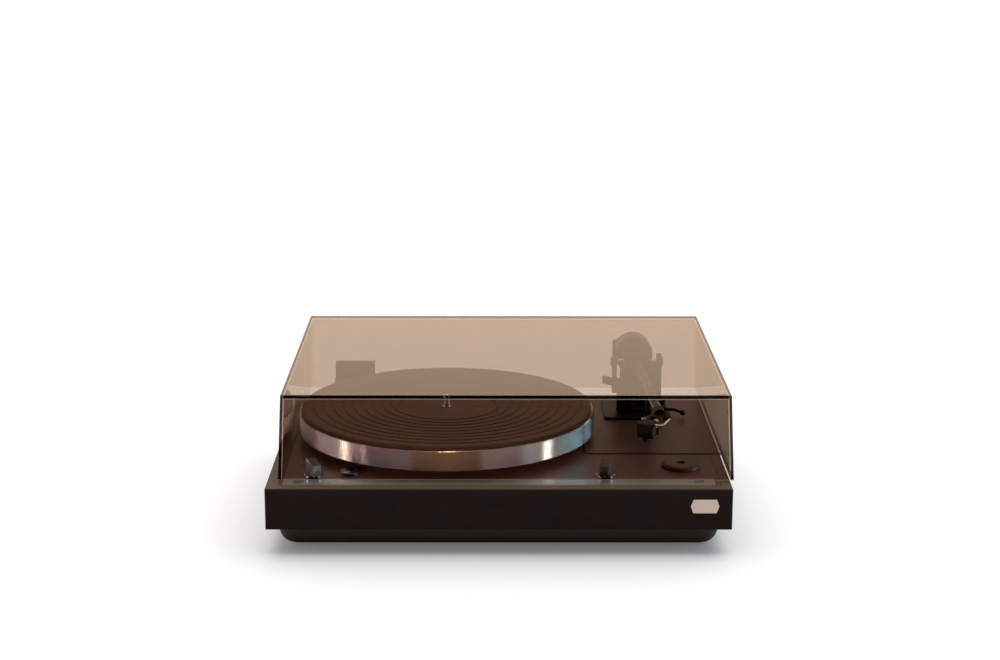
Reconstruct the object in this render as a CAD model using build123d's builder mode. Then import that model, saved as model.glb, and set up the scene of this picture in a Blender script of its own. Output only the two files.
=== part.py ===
from build123d import *
import os
from math import atan2, cos, degrees, hypot, radians, sin

# A belt-drive record player: a wooden plinth on a moulded tub, a turned platter, a pivoted pickup arm and
# a tinted dust cover on two friction hinges. Millimetres, +Z up, the front faces -Y.
# Heights written as "above the deck" are measured from the top face of the plinth.

# The platter, the arm's place beside it and the room round both,
# which together give the plinth's width and depth
platter_radius = 150.0
margin_left_of_platter = 17.4
margin_front_of_platter = 28.9
arm_behind_spindle = 98.1
arm_from_rear = 43.0
arm_right_of_platter = 51.1
arm_from_right = 71.5

# Plinth, deck and tub
plinth_height = 40.0
plinth_wall = 20.0
plinth_top_panel = 14.0
plinth_edge_break = 0.8
deck_thickness = 6.0
deck_margin_side = 10.0
deck_margin_front = 12.0
deck_margin_rear = 10.0
deck_fit = 0.2
armboard_thickness = 8.0
armboard_rise = 0.8
armboard_front = 111.0
armboard_width = 134.0
armboard_overhang = 0.8
armboard_gap = 1.0
strip_margin_side = 15.0
strip_depth = 20.8
strip_thickness = 1.2
tub_front_setback = 15.0
tub_side_setback = 9.5
tub_drop = 22.5
tub_wall = 3.0
tub_corner = 20.0
tub_edge_round = 14.0
tub_screw_boss = 6.5
tub_screw_in = 8.0
tub_screw_radius = 1.75
tub_screw_head = 3.6
tub_screw_seat = 6.0
tub_screw_grip = 14.0
foot_radius = 18.0
foot_out = 4.0
foot_sunk = 1.2
foot_edge_break = 1.5
foot_inset_x = 52.0
foot_inset_y = 45.0

# Dust cover and hinges
cover_narrower = 7.4
cover_over_rear = 34.9
cover_above_arm = 30.1
cover_side_draft = 3.75
cover_wall = 3.0
cover_setback = 21.2
cover_side_shift = 6.7
cover_lift = 2.0
cover_edge_round = 0.8
pad_width = 10.0
pad_gap = 0.1
hinge_from_side = 62.25
hinge_width = 43.0
hinge_knuckle_width = 30.0
hinge_axis_behind_plinth = 18.0
hinge_axis_rise = 8.0
hinge_knuckle_radius = 7.0
hinge_cheek_radius = 8.0
hinge_plate_thickness = 3.0
hinge_plate_drop = 34.0
hinge_pin_radius = 2.5
hinge_pin_fit = 0.05
hinge_side_gap = 0.4
hinge_screw_radius = 1.6
hinge_screw_head = 3.0
hinge_screw_grip = 12.0
clamp_top = 31.0
clamp_bottom = -4.0
clamp_inner_jaw = 8.6
clamp_outer_jaw = 4.0
clamp_fit = 0.1

# Platter, bearing and drive
platter_skirt_bottom = 7.7
platter_top = 27.8
platter_plate = 4.5
platter_skirt_wall = 9.0
mat_inside_rim = 2.6
mat_thickness = 4.0
mat_label_radius = 51.0
mat_label_sunk = 1.2
mat_groove_count = 9
spindle_radius = 3.6
spindle_seat_radius = 4.4
spindle_above_mat = 11.0
shaft_radius = 5.0
shaft_fit = 0.03
shaft_bottom = -46.0
thrust_ball_radius = 2.5
bearing_radius = 11.0
bearing_flange_radius = 27.0
bearing_flange_thickness = 4.0
bearing_floor = 3.0
inner_platter_inset = 70.0
inner_platter_bottom = 9.5
inner_platter_rim = 3.0
inner_platter_web = 4.0
inner_hub_radius = 14.0
motor_from_left = 89.4
motor_from_front = 98.9
motor_radius = 29.0
motor_height = 34.0
motor_shaft_radius = 1.5
motor_plate_thickness = 2.0
isolator_height = 3.0
isolator_radius = 6.5
isolator_reach = 36.0
motor_edge_break = 2.0
motor_screw_radius = 2.0
motor_screw_gap = 0.4
motor_screw_head = 4.0
motor_screw_head_height = 2.0
plate_margin = 2.0
pulley_small_radius = 7.1
pulley_large_radius = 9.6
pulley_step = 5.5
pulley_bottom = 9.8
belt_height = 4.5
belt_thickness = 0.8
belt_gap = 0.3

# Controls along the front
control_from_front = 39.5
speed_knob_from_left = 43.0
start_knob_from_right = 118.0
knob_skirt_radius = 9.2
knob_skirt_height = 2.2
knob_bar_width = 8.5
knob_bar_length = 17.6
knob_height = 15.5
knob_gap = 0.5
speed_knob_turn = 28.0
start_knob_turn = -12.0
switch_shaft_radius = 3.0
switch_shaft_fit = 0.05
switch_size = 24.0
switch_height = 13.0
trim_from_left = 77.3
trim_from_front = 46.0
trim_radius = 9.5
trim_height = 3.0
trim_control_radius = 7.5
adaptor_from_right = 42.7
adaptor_from_front = 70.0
adaptor_radius = 19.05
adaptor_bore = 3.65
adaptor_height = 8.0
adaptor_sunk = 3.4
adaptor_fit = 0.4

# Pickup arm
arm_overhang = 14.7
arm_line_turn = 2.0
offset_angle = 22.0
shell_reach = 38.0
shell_front = 5.2
shell_width = 17.0
shell_neck = 9.0
shell_thickness = 2.6
tube_radius = 4.5
tube_wall = 0.9
cartridge_width = 15.6
cartridge_length = 26.0
cartridge_height = 12.0
stylus_above_mat = 1.3
stylus_radius = 1.1
stylus_tip_radius = 0.15
tip_length = 3.2
stylus_holder_height = 2.4
finger_start = 1.0
finger_level = 3.0
finger_out = 12.5
finger_back = 6.0
finger_rise = 6.0
finger_bend = 2.0
finger_radius = 0.9
screw_spacing = 12.7
screw_radius = 1.25
screw_head_radius = 2.1
screw_back = 9.5
arm_plate_width = 70.0
arm_plate_depth = 76.0
arm_plate_thickness = 3.0
arm_plate_ahead = 49.0
pillar_radius = 12.5
pillar_top = 18.5
pillar_sleeve_radius = 9.0
arm_nut_size = 15.0
arm_nut_height = 5.0
yaw_shaft_radius = 6.0
yaw_shaft_fit = 0.05
yoke_width = 52.0
yoke_wall = 4.5
yoke_base = 5.0
yoke_depth = 16.0
yoke_head_radius = 9.0
yoke_fin_rise = 23.5
yoke_gap = 0.5
block_width = 27.0
block_depth = 20.0
block_height = 15.0
pivot_screw_radius = 2.4
pivot_screw_fit = 0.04
pivot_screw_into_block = 5.0
pivot_screw_out = 1.5
pivot_nut_size = 4.2
pivot_nut_height = 2.0
stub_radius = 5.0
stub_length = 52.0
counterweight_radius = 20.4
counterweight_length = 24.0
counterweight_start = 27.0
counterweight_fit = 0.05
force_dial_radius = 14.0
force_dial_length = 5.0
dial_gap = 0.4
rest_reach = 100.0
rest_post_radius = 4.0
rest_seat_width = 8.0
rest_seat_gap = 0.9
rest_side_gap = 1.4
rest_wall = 3.6
rest_cheek = 2.2
rest_clip_length = 16.0
rest_clip_thickness = 2.4
rest_clip_width = 3.0
rest_pin_radius = 1.2
rest_pin_fit = 0.04
lift_reach = 27.3
lift_turn = 28.0
lift_cylinder_radius = 10.0
lift_cylinder_top = 30.0
lift_piston_radius = 4.0
lift_piston_fit = 0.05
lift_piston_depth = 12.0
lift_bracket = 3.0
lift_rail_reach = 56.0
lift_rail_sweep = 50.0
lift_rail_thickness = 2.6
lift_rail_height = 8.0
lift_rail_gap = 0.7
lift_travel = 4.5
lever_shaft_radius = 2.0
lever_shaft_fit = 0.05
lever_shaft_height = 6.6
lever_shaft_ahead = 28.0
lever_right_end = 29.5
lever_post_width = 4.0
lever_gap = 0.5
lever_reach_x = 17.0
lever_reach_y = 13.0
lever_rod_radius = 1.7
lever_tip_radius = 3.0
dial_radius = 7.0
dial_height = 8.0
dial_stem_radius = 2.8

# Sockets at the rear
socket_panel_width = 66.0
socket_panel_height = 18.0
socket_panel_thickness = 2.0
socket_panel_lap = 3.0
socket_spacing = 20.0
socket_radius = 4.15
socket_length = 9.0
socket_bore = 1.7
socket_rise = -24.0
socket_from_left = 262.0
inlet_inside_hinge = 47.75
inlet_bore = 2.9
inlet_radius = 6.5

# Circuit board on the tub's floor
board_width = 90.0
board_depth = 60.0
board_thickness = 1.6
board_standoff = 6.0
board_from_left = 100.0
board_from_rear = 70.0
standoff_inset = 5.0
standoff_radius = 3.0
transformer_width = 22.0
transformer_depth = 18.0
capacitor_radius = 5.0
tall_part_height = 11.0
chip_width = 18.0
chip_depth = 8.0
chip_height = 2.5

# Places worked out from the sizes above
plinth_width = margin_left_of_platter + 2 * platter_radius + arm_right_of_platter + arm_from_right
plinth_depth = margin_front_of_platter + platter_radius + arm_behind_spindle + arm_from_rear
cover_bottom_width = plinth_width - cover_narrower
cover_bottom_depth = plinth_depth - cover_setback + cover_over_rear
strip_length = plinth_width - 2 * strip_margin_side
hinge_spacing = plinth_width - 2 * hinge_from_side
mat_radius = platter_radius - mat_inside_rim
inner_platter_radius = platter_radius - inner_platter_inset
stylus_height = stylus_above_mat + tip_length + stylus_holder_height
arm_height = platter_top + mat_thickness + stylus_height + cartridge_height + shell_thickness / 2
cover_height = arm_height + cover_above_arm
yoke_fin_top = arm_height + yoke_fin_rise
deck_z = foot_out + tub_drop + plinth_height
plinth_bottom = deck_z - plinth_height
overhang_right = cover_side_shift + cover_bottom_width / 2 - plinth_width / 2
plinth_x = -overhang_right / 2
left_x = plinth_x - plinth_width / 2
right_x = plinth_x + plinth_width / 2
overall_depth = cover_setback + cover_bottom_depth + clamp_outer_jaw + clamp_fit
front_y = -overall_depth / 2
plinth_y = front_y + plinth_depth / 2
rear_y = front_y + plinth_depth
cover_x = plinth_x + cover_side_shift
cover_y = front_y + cover_setback + cover_bottom_depth / 2
cover_bottom = deck_z + cover_lift
cover_taper = degrees(atan2(cover_side_draft, cover_height))
panel_bottom = deck_z - plinth_top_panel
spindle_x = left_x + margin_left_of_platter + platter_radius
spindle_y = front_y + margin_front_of_platter + platter_radius
motor_x = left_x + motor_from_left
motor_y = front_y + motor_from_front
motor_plate_top = panel_bottom - isolator_height
motor_top = motor_plate_top - motor_plate_thickness
board_left = right_x - armboard_width
board_front = front_y + armboard_front
board_bottom = deck_z + armboard_rise - armboard_thickness
board_top = deck_z + armboard_rise
deck_left = left_x + deck_margin_side
deck_right = right_x - deck_margin_side
deck_front = front_y + deck_margin_front
deck_rear = rear_y - deck_margin_rear
speed_x = left_x + speed_knob_from_left
start_x = right_x - start_knob_from_right
control_y = front_y + control_from_front
trim_x = left_x + trim_from_left
trim_y = front_y + trim_from_front
adaptor_x = right_x - adaptor_from_right
adaptor_y = front_y + adaptor_from_front
hinge_y = rear_y + hinge_axis_behind_plinth
hinge_z = deck_z + hinge_axis_rise
hinge_places = {"left": plinth_x - hinge_spacing / 2, "right": plinth_x + hinge_spacing / 2}
tub_y = plinth_y
tub_width = plinth_width - 2 * tub_side_setback
tub_depth = plinth_depth - 2 * tub_front_setback
tub_floor = foot_out + tub_wall

# Arm geometry: pivot, stylus, headshell direction and the tube's line, all level with the deck
arm_x = right_x - arm_from_right
arm_y = spindle_y + arm_behind_spindle
arm_z = deck_z + arm_height
pivot_distance = hypot(arm_x - spindle_x, arm_y - spindle_y)
effective_length = pivot_distance + arm_overhang
stylus_x = arm_x - effective_length * sin(radians(arm_line_turn))
stylus_y = arm_y - effective_length * cos(radians(arm_line_turn))
shell_turn = arm_line_turn + offset_angle
collar_x = stylus_x + shell_reach * sin(radians(shell_turn))
collar_y = stylus_y + shell_reach * cos(radians(shell_turn))
tube_length = hypot(arm_x - collar_x, arm_y - collar_y)
tube_back = Vector(arm_x - collar_x, arm_y - collar_y, 0).normalized()
shell_side = Vector(cos(radians(shell_turn)), -sin(radians(shell_turn)), 0)

# Working planes: local x to the right, local y towards the back or up, as each note says
spindle_plane = Plane((spindle_x, spindle_y, deck_z))
spindle_turning = Plane((spindle_x, spindle_y, deck_z), x_dir=(1, 0, 0), z_dir=(0, -1, 0))
spindle_axis = Axis((spindle_x, spindle_y, 0), (0, 0, 1))
motor_turning = Plane((motor_x, motor_y, deck_z), x_dir=(1, 0, 0), z_dir=(0, -1, 0))
motor_axis = Axis((motor_x, motor_y, 0), (0, 0, 1))
shell_plane = Plane((stylus_x, stylus_y, arm_z), x_dir=shell_side, z_dir=(0, 0, 1))
tube_plane = Plane((collar_x, collar_y, arm_z), x_dir=(tube_back.Y, -tube_back.X, 0), z_dir=tube_back)
along_tube = Plane((arm_x, arm_y, deck_z), x_dir=(tube_back.Y, -tube_back.X, 0), z_dir=(0, 0, 1))
lever_handle_plane = Plane((arm_x, arm_y - lever_shaft_ahead, deck_z + lever_shaft_height))

rear_plane = Plane((0, rear_y, 0), x_dir=(-1, 0, 0), z_dir=(0, 1, 0))
side_plane = Plane((arm_x, arm_y, deck_z), x_dir=(0, 1, 0), z_dir=(1, 0, 0))

# Fastener and socket places; on the rear plane local x runs to the left as seen from the front
tub_screw_x = tub_width / 2 - tub_screw_in
tub_screw_y = tub_depth / 2 - tub_corner
tub_screw_places = [
    (plinth_x + way_x * tub_screw_x, tub_y + way_y * tub_screw_y) for way_x in (-1, 1) for way_y in (-1, 1)
]
hinge_screw_places = [
    (-hinge_x + way * hinge_width / 3, hinge_z - drop)
    for hinge_x in hinge_places.values()
    for way in (-1, 1)
    for drop in (hinge_plate_drop * 0.57, hinge_plate_drop * 0.86)
]
socket_x = -(left_x + socket_from_left)
socket_z = deck_z + socket_rise
inlet_x = -(hinge_places["left"] + inlet_inside_hinge)

os.makedirs("parts", exist_ok=True)


# Plinth: a solid board hollowed from below, with shallow seats on top for the deck and the armboard
with BuildPart() as plinth:
    with BuildSketch(Plane.XY.offset(plinth_bottom)):
        with Locations((plinth_x, plinth_y)):
            Rectangle(plinth_width, plinth_depth)
    extrude(amount=plinth_height)
    chamfer(plinth.edges().filter_by(Axis.Z), plinth_edge_break)
    chamfer(plinth.faces().sort_by(Axis.Z)[-1].edges(), plinth_edge_break)
    with BuildSketch(Plane.XY.offset(plinth_bottom)):
        with Locations((plinth_x, plinth_y)):
            Rectangle(plinth_width - 2 * plinth_wall, plinth_depth - 2 * plinth_wall)
    extrude(amount=plinth_height - plinth_top_panel, mode=Mode.SUBTRACT)
    with BuildSketch(Plane.XY.offset(deck_z - deck_thickness)):
        with Locations(((deck_left + deck_right) / 2, (deck_front + deck_rear) / 2)):
            Rectangle(deck_right - deck_left, deck_rear - deck_front)
    extrude(amount=deck_thickness + 1, mode=Mode.SUBTRACT)
    with BuildSketch(Plane.XY.offset(board_bottom)):
        with Locations((board_left, board_front)):
            Rectangle(plinth_width, plinth_depth, align=(Align.MIN, Align.MIN))
    extrude(amount=armboard_thickness + 1, mode=Mode.SUBTRACT)
    with BuildSketch(Plane.XY.offset(panel_bottom)):
        with Locations((spindle_x, spindle_y)):
            Circle(bearing_radius + 1)
        with Locations((motor_x, motor_y)):
            Circle(pulley_large_radius + 5)
        with Locations((speed_x, control_y), (start_x, control_y), (trim_x, trim_y)):
            Circle(switch_shaft_radius + 1)
        with Locations((arm_x, arm_y)):
            Circle(pillar_radius + 10)
    extrude(amount=plinth_top_panel, mode=Mode.SUBTRACT)
    with BuildSketch(Plane.XY.offset(plinth_bottom)):
        with Locations(tub_screw_places):
            Circle(tub_screw_radius)
    extrude(amount=tub_screw_grip, mode=Mode.SUBTRACT)
    with BuildSketch(rear_plane):
        with Locations(hinge_screw_places):
            Circle(hinge_screw_radius)
    extrude(amount=-hinge_screw_grip, mode=Mode.SUBTRACT)
    with BuildSketch(rear_plane):
        with Locations((socket_x, socket_z)):
            Rectangle(socket_panel_width - 4 * socket_panel_lap, socket_panel_height - 2 * socket_panel_lap)
        with Locations((inlet_x, socket_z)):
            Circle(inlet_radius - 1)
    extrude(amount=-plinth_wall, mode=Mode.SUBTRACT)
plinth.part.label = "plinth"
export_step(plinth.part, "parts/plinth.step")

# Deck plate, let into the plinth, with its holes for the bearing, pulley, controls and adaptor
with BuildPart() as deck_plate:
    with BuildSketch(Plane.XY.offset(deck_z - deck_thickness)):
        with Locations((deck_left + deck_fit, deck_front + deck_fit)):
            Rectangle(
                deck_right - deck_left - 2 * deck_fit,
                deck_rear - deck_front - 2 * deck_fit,
                align=(Align.MIN, Align.MIN),
            )
        with Locations((board_left - armboard_gap, board_front - armboard_gap)):
            Rectangle(plinth_width, plinth_depth, align=(Align.MIN, Align.MIN), mode=Mode.SUBTRACT)
        with Locations((spindle_x, spindle_y)):
            Circle(bearing_radius + 1, mode=Mode.SUBTRACT)
        with Locations((motor_x, motor_y)):
            Circle(pulley_large_radius + 3, mode=Mode.SUBTRACT)
        with Locations((speed_x, control_y), (start_x, control_y), (trim_x, trim_y)):
            Circle(switch_shaft_radius + 1, mode=Mode.SUBTRACT)
    extrude(amount=deck_thickness)
    with BuildSketch(Plane.XY.offset(deck_z)):
        with Locations((adaptor_x, adaptor_y)):
            Circle(adaptor_radius + adaptor_fit)
    extrude(amount=-adaptor_sunk, mode=Mode.SUBTRACT)
    with BuildSketch(Plane.XY.offset(deck_z)):
        with Locations((plinth_x, deck_front)):
            Rectangle(strip_length + 2 * deck_fit, 2 * (strip_depth + deck_fit))
    extrude(amount=-strip_thickness, mode=Mode.SUBTRACT)
deck_plate.part.label = "deck_plate"
export_step(deck_plate.part, "parts/deck_plate.step")

# Legend strip let into the deck in front of the cover; it is bare
with BuildPart() as front_strip:
    with BuildSketch(Plane.XY.offset(deck_z - strip_thickness)):
        with Locations((plinth_x, deck_front + deck_fit)):
            Rectangle(strip_length, strip_depth - deck_fit, align=(Align.CENTER, Align.MIN))
        with Locations((speed_x, control_y), (start_x, control_y), (trim_x, trim_y)):
            Circle(switch_shaft_radius + 1, mode=Mode.SUBTRACT)
    extrude(amount=strip_thickness)
front_strip.part.label = "front_strip"
export_step(front_strip.part, "parts/front_strip.step")

# Armboard: covers the right rear quarter out to the plinth's edges, and carries the arm
with BuildPart() as armboard:
    with BuildSketch(Plane.XY.offset(board_bottom)):
        with Locations((board_left, board_front)):
            Rectangle(
                right_x + armboard_overhang - board_left,
                rear_y - board_front,
                align=(Align.MIN, Align.MIN),
            )
        with Locations((arm_x, arm_y)):
            Circle(pillar_sleeve_radius + deck_fit, mode=Mode.SUBTRACT)
    extrude(amount=armboard_thickness)
    chamfer(armboard.faces().sort_by(Axis.Z)[-1].edges().sort_by(Axis.X)[-1], armboard_overhang)
armboard.part.label = "armboard"
export_step(armboard.part, "parts/armboard.step")

# Moulded tub under the plinth: rounded below, open on top, with screw bosses and seats for the feet
foot_places = GridLocations(tub_width - 2 * foot_inset_x, tub_depth - 2 * foot_inset_y, 2, 2).locations
with BuildPart() as tub_form:
    with BuildSketch(Plane.XY.offset(plinth_bottom)):
        with Locations((plinth_x, tub_y)):
            RectangleRounded(tub_width, tub_depth, tub_corner)
    extrude(amount=-tub_drop)
    fillet(tub_form.faces().sort_by(Axis.Z)[0].edges(), tub_edge_round)

with BuildPart() as base_tub:
    add(tub_form.part)
    offset(amount=-tub_wall, openings=base_tub.faces().sort_by(Axis.Z)[-1])
    with BuildSketch(Plane.XY.offset(plinth_bottom)):
        with Locations(tub_screw_places):
            Circle(tub_screw_boss)
    extrude(amount=-tub_drop)
    add(tub_form.part, mode=Mode.INTERSECT)
    with BuildSketch(Plane.XY.offset(plinth_bottom)):
        with Locations(tub_screw_places):
            Circle(tub_screw_radius)
    extrude(amount=-tub_drop, mode=Mode.SUBTRACT)
    with BuildSketch(Plane.XY.offset(plinth_bottom - tub_screw_seat)):
        with Locations(tub_screw_places):
            Circle(tub_screw_head + deck_fit)
    extrude(amount=-tub_drop, mode=Mode.SUBTRACT)
    with BuildSketch(Plane.XY.offset(foot_out)):
        with Locations((plinth_x, tub_y)):
            with Locations(foot_places):
                Circle(foot_radius + deck_fit)
    extrude(amount=foot_sunk, mode=Mode.SUBTRACT)
base_tub.part.label = "base_tub"
export_step(base_tub.part, "parts/base_tub.step")

with BuildPart() as tub_screws:
    with BuildSketch(Plane.XY.offset(plinth_bottom - tub_screw_seat)):
        with Locations(tub_screw_places):
            Circle(tub_screw_head)
    extrude(amount=-2.4)
    with BuildSketch(Plane.XY.offset(plinth_bottom - tub_screw_seat)):
        with Locations(tub_screw_places):
            Circle(tub_screw_radius)
    extrude(amount=tub_screw_seat + tub_screw_grip)
tub_screws.part.label = "tub_screws"
export_step(tub_screws.part, "parts/tub_screws.step")

# Four rubber feet, one node
with BuildPart() as feet:
    with BuildSketch(Plane.XY):
        with Locations((plinth_x, tub_y)):
            with Locations(foot_places):
                Circle(foot_radius)
    extrude(amount=foot_out + foot_sunk)
    chamfer(feet.faces().group_by(Axis.Z)[0].edges(), foot_edge_break)
feet.part.label = "feet"
export_step(feet.part, "parts/feet.step")

# Dust cover: five tapered walls of one thickness, open below
with BuildPart() as dust_cover:
    with BuildSketch(Plane.XY.offset(cover_bottom)):
        with Locations((cover_x, cover_y)):
            Rectangle(cover_bottom_width, cover_bottom_depth)
    extrude(amount=cover_height, taper=cover_taper)
    fillet(dust_cover.edges().filter_by(Plane.XY, reverse=True), cover_edge_round)
    fillet(dust_cover.faces().sort_by(Axis.Z)[-1].edges(), cover_edge_round)
    offset(amount=-cover_wall, openings=dust_cover.faces().sort_by(Axis.Z)[0])
dust_cover.part.label = "dust_cover"
export_step(dust_cover.part, "parts/dust_cover.step")

# Soft pads under the cover's front corners and sides
pad_front_y = front_y + cover_setback + cover_wall / 2
pad_side_y = front_y + cover_setback + pad_width * 2
pad_side_x = cover_x - cover_bottom_width / 2 + cover_wall / 2
pad_left_x = left_x + deck_margin_side * 3
pad_right_x = right_x - deck_margin_side * 3
with BuildPart() as cover_pads:
    with BuildSketch(Plane.XY.offset(deck_z + pad_gap)):
        with Locations((pad_left_x, pad_front_y), (pad_right_x, pad_front_y)):
            Rectangle(pad_width, cover_wall - 2 * cover_edge_round)
        with Locations((pad_side_x, pad_side_y), (pad_side_x, rear_y - pad_width * 2)):
            Rectangle(cover_wall - 2 * cover_edge_round, pad_width)
    extrude(amount=cover_lift - pad_gap)
cover_pads.part.label = "cover_pads"
export_step(cover_pads.part, "parts/cover_pads.step")

# Hinges: a plate with two cheeks and a fixed pin on the plinth's back, and a clamp that grips the cover
cover_rear = front_y + cover_setback + cover_bottom_depth
wall_slope = cover_side_draft / cover_height
slot_bottom = cover_bottom - clamp_fit
slot_outer_low = cover_rear + clamp_fit
slot_inner_low = cover_rear - cover_wall - clamp_fit
clamp_slot_top = deck_z + clamp_top + 1
slot_lean = wall_slope * (clamp_slot_top - slot_bottom)
for side, hinge_x in hinge_places.items():
    hinge_plane = Plane((hinge_x, hinge_y, hinge_z), x_dir=(0, 1, 0), z_dir=(1, 0, 0))
    outer_face = hinge_plane.offset(-hinge_width / 2)
    knuckle_face = hinge_plane.offset(-hinge_knuckle_width / 2)
    with BuildPart() as hinge_base:
        with BuildSketch(outer_face):
            Circle(hinge_cheek_radius)
            with Locations((-hinge_axis_behind_plinth, -hinge_cheek_radius * 1.5)):
                Rectangle(hinge_plate_thickness, hinge_cheek_radius * 2, align=(Align.MIN, Align.MIN))
            make_hull()
        extrude(amount=hinge_width)
        with BuildSketch(knuckle_face.offset(-hinge_side_gap)):
            with Locations((-hinge_axis_behind_plinth + hinge_plate_thickness, -hinge_plate_drop)):
                Rectangle(4 * hinge_width, 4 * hinge_width, align=(Align.MIN, Align.MIN))
        extrude(amount=hinge_knuckle_width + 2 * hinge_side_gap, mode=Mode.SUBTRACT)
        with BuildSketch(outer_face):
            with Locations((-hinge_axis_behind_plinth, -hinge_plate_drop)):
                Rectangle(hinge_plate_thickness, hinge_plate_drop, align=(Align.MIN, Align.MIN))
        extrude(amount=hinge_width)
        with BuildSketch(outer_face):
            Circle(hinge_pin_radius)
        extrude(amount=hinge_width)
        with BuildSketch(rear_plane):
            with Locations(hinge_screw_places):
                Circle(hinge_screw_radius)
        extrude(amount=hinge_plate_thickness, mode=Mode.SUBTRACT)
    hinge_base.part.label = f"hinge_base_{side}"
    export_step(hinge_base.part, f"parts/hinge_base_{side}.step")

    with BuildPart() as hinge_clamp:
        with BuildSketch(knuckle_face):
            Circle(hinge_knuckle_radius)
            with Locations((0, -hinge_knuckle_radius)):
                Rectangle(clamp_inner_jaw + 1, 2 * hinge_knuckle_radius, align=(Align.MIN, Align.MIN))
        extrude(amount=hinge_knuckle_width)
        with BuildSketch(outer_face):
            with Locations((clamp_inner_jaw, clamp_bottom - hinge_axis_rise)):
                Rectangle(
                    slot_outer_low + clamp_outer_jaw - hinge_y - clamp_inner_jaw,
                    clamp_top - clamp_bottom,
                    align=(Align.MIN, Align.MIN),
                )
        extrude(amount=hinge_width)
        with BuildSketch(outer_face):
            with BuildLine():
                Polyline(
                    (slot_inner_low - hinge_y, slot_bottom - hinge_z),
                    (slot_outer_low - hinge_y, slot_bottom - hinge_z),
                    (slot_outer_low - hinge_y - slot_lean, clamp_slot_top - hinge_z),
                    (slot_inner_low - hinge_y - slot_lean, clamp_slot_top - hinge_z),
                    close=True,
                )
            make_face()
        extrude(amount=hinge_width, mode=Mode.SUBTRACT)
        with BuildSketch(outer_face):
            Circle(hinge_pin_radius + hinge_pin_fit)
        extrude(amount=hinge_width, mode=Mode.SUBTRACT)
    hinge_clamp.part.label = f"hinge_clamp_{side}"
    export_step(hinge_clamp.part, f"parts/hinge_clamp_{side}.step")

with BuildPart() as hinge_screws:
    with BuildSketch(rear_plane.offset(hinge_plate_thickness)):
        with Locations(hinge_screw_places):
            Circle(hinge_screw_head)
    extrude(amount=1.8)
    with BuildSketch(rear_plane.offset(hinge_plate_thickness)):
        with Locations(hinge_screw_places):
            Circle(hinge_screw_radius)
    extrude(amount=-(hinge_plate_thickness + hinge_screw_grip))
hinge_screws.part.label = "hinge_screws"
export_step(hinge_screws.part, "parts/hinge_screws.step")

# Main bearing: a flanged sleeve under the top panel, closed below, with a ball under the shaft
ball_z = shaft_bottom - thrust_ball_radius
cap_top = ball_z - thrust_ball_radius
panel_under = -plinth_top_panel
with BuildPart() as bearing_housing:
    with BuildSketch(spindle_turning):
        with BuildLine():
            Polyline(
                (0, cap_top - bearing_floor),
                (bearing_radius, cap_top - bearing_floor),
                (bearing_radius, panel_under - bearing_flange_thickness),
                (bearing_flange_radius, panel_under - bearing_flange_thickness),
                (bearing_flange_radius, panel_under),
                (bearing_radius, panel_under),
                (bearing_radius, 3.0),
                (bearing_radius - 1.5, 4.5),
                (shaft_radius + shaft_fit, 4.5),
                (shaft_radius + shaft_fit, cap_top),
                (0, cap_top),
                close=True,
            )
        make_face()
    revolve(axis=spindle_axis)
    with BuildSketch(spindle_plane.offset(panel_under)):
        with PolarLocations((bearing_radius + bearing_flange_radius) / 2, 3):
            Circle(2.2)
    extrude(amount=-bearing_flange_thickness, mode=Mode.SUBTRACT)
bearing_housing.part.label = "bearing_housing"
export_step(bearing_housing.part, "parts/bearing_housing.step")

with BuildPart() as thrust_ball:
    with Locations((spindle_x, spindle_y, deck_z + ball_z)):
        Sphere(thrust_ball_radius)
thrust_ball.part.label = "thrust_ball"
export_step(thrust_ball.part, "parts/thrust_ball.step")

with BuildPart() as bearing_screws:
    with BuildSketch(spindle_plane.offset(panel_under - bearing_flange_thickness - 2)):
        with PolarLocations((bearing_radius + bearing_flange_radius) / 2, 3):
            Circle(3.8)
    extrude(amount=2)
    with BuildSketch(spindle_plane.offset(panel_under - bearing_flange_thickness)):
        with PolarLocations((bearing_radius + bearing_flange_radius) / 2, 3):
            Circle(2.0)
    extrude(amount=bearing_flange_thickness)
bearing_screws.part.label = "bearing_screws"
export_step(bearing_screws.part, "parts/bearing_screws.step")

# Spindle: one turned shaft, thick in the bearing, thinner in the platter and mat, thinnest where the record goes
spindle_top = platter_top + mat_thickness + spindle_above_mat
shaft_shoulder = platter_top - platter_plate
label_level = platter_top + mat_thickness - mat_label_sunk
with BuildPart() as spindle:
    with BuildSketch(spindle_plane.offset(shaft_bottom)):
        Circle(shaft_radius)
    extrude(amount=shaft_shoulder - shaft_bottom)
    with BuildSketch(spindle_plane.offset(shaft_shoulder)):
        Circle(spindle_seat_radius)
    extrude(amount=label_level - shaft_shoulder)
    with BuildSketch(spindle_plane.offset(label_level)):
        Circle(spindle_radius)
    extrude(amount=spindle_top - label_level)
    fillet(spindle.faces().sort_by(Axis.Z)[-1].edges(), spindle_radius * 0.8)
    chamfer(spindle.faces().sort_by(Axis.Z)[0].edges(), 0.5)
spindle.part.label = "spindle"
export_step(spindle.part, "parts/spindle.step")

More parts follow.
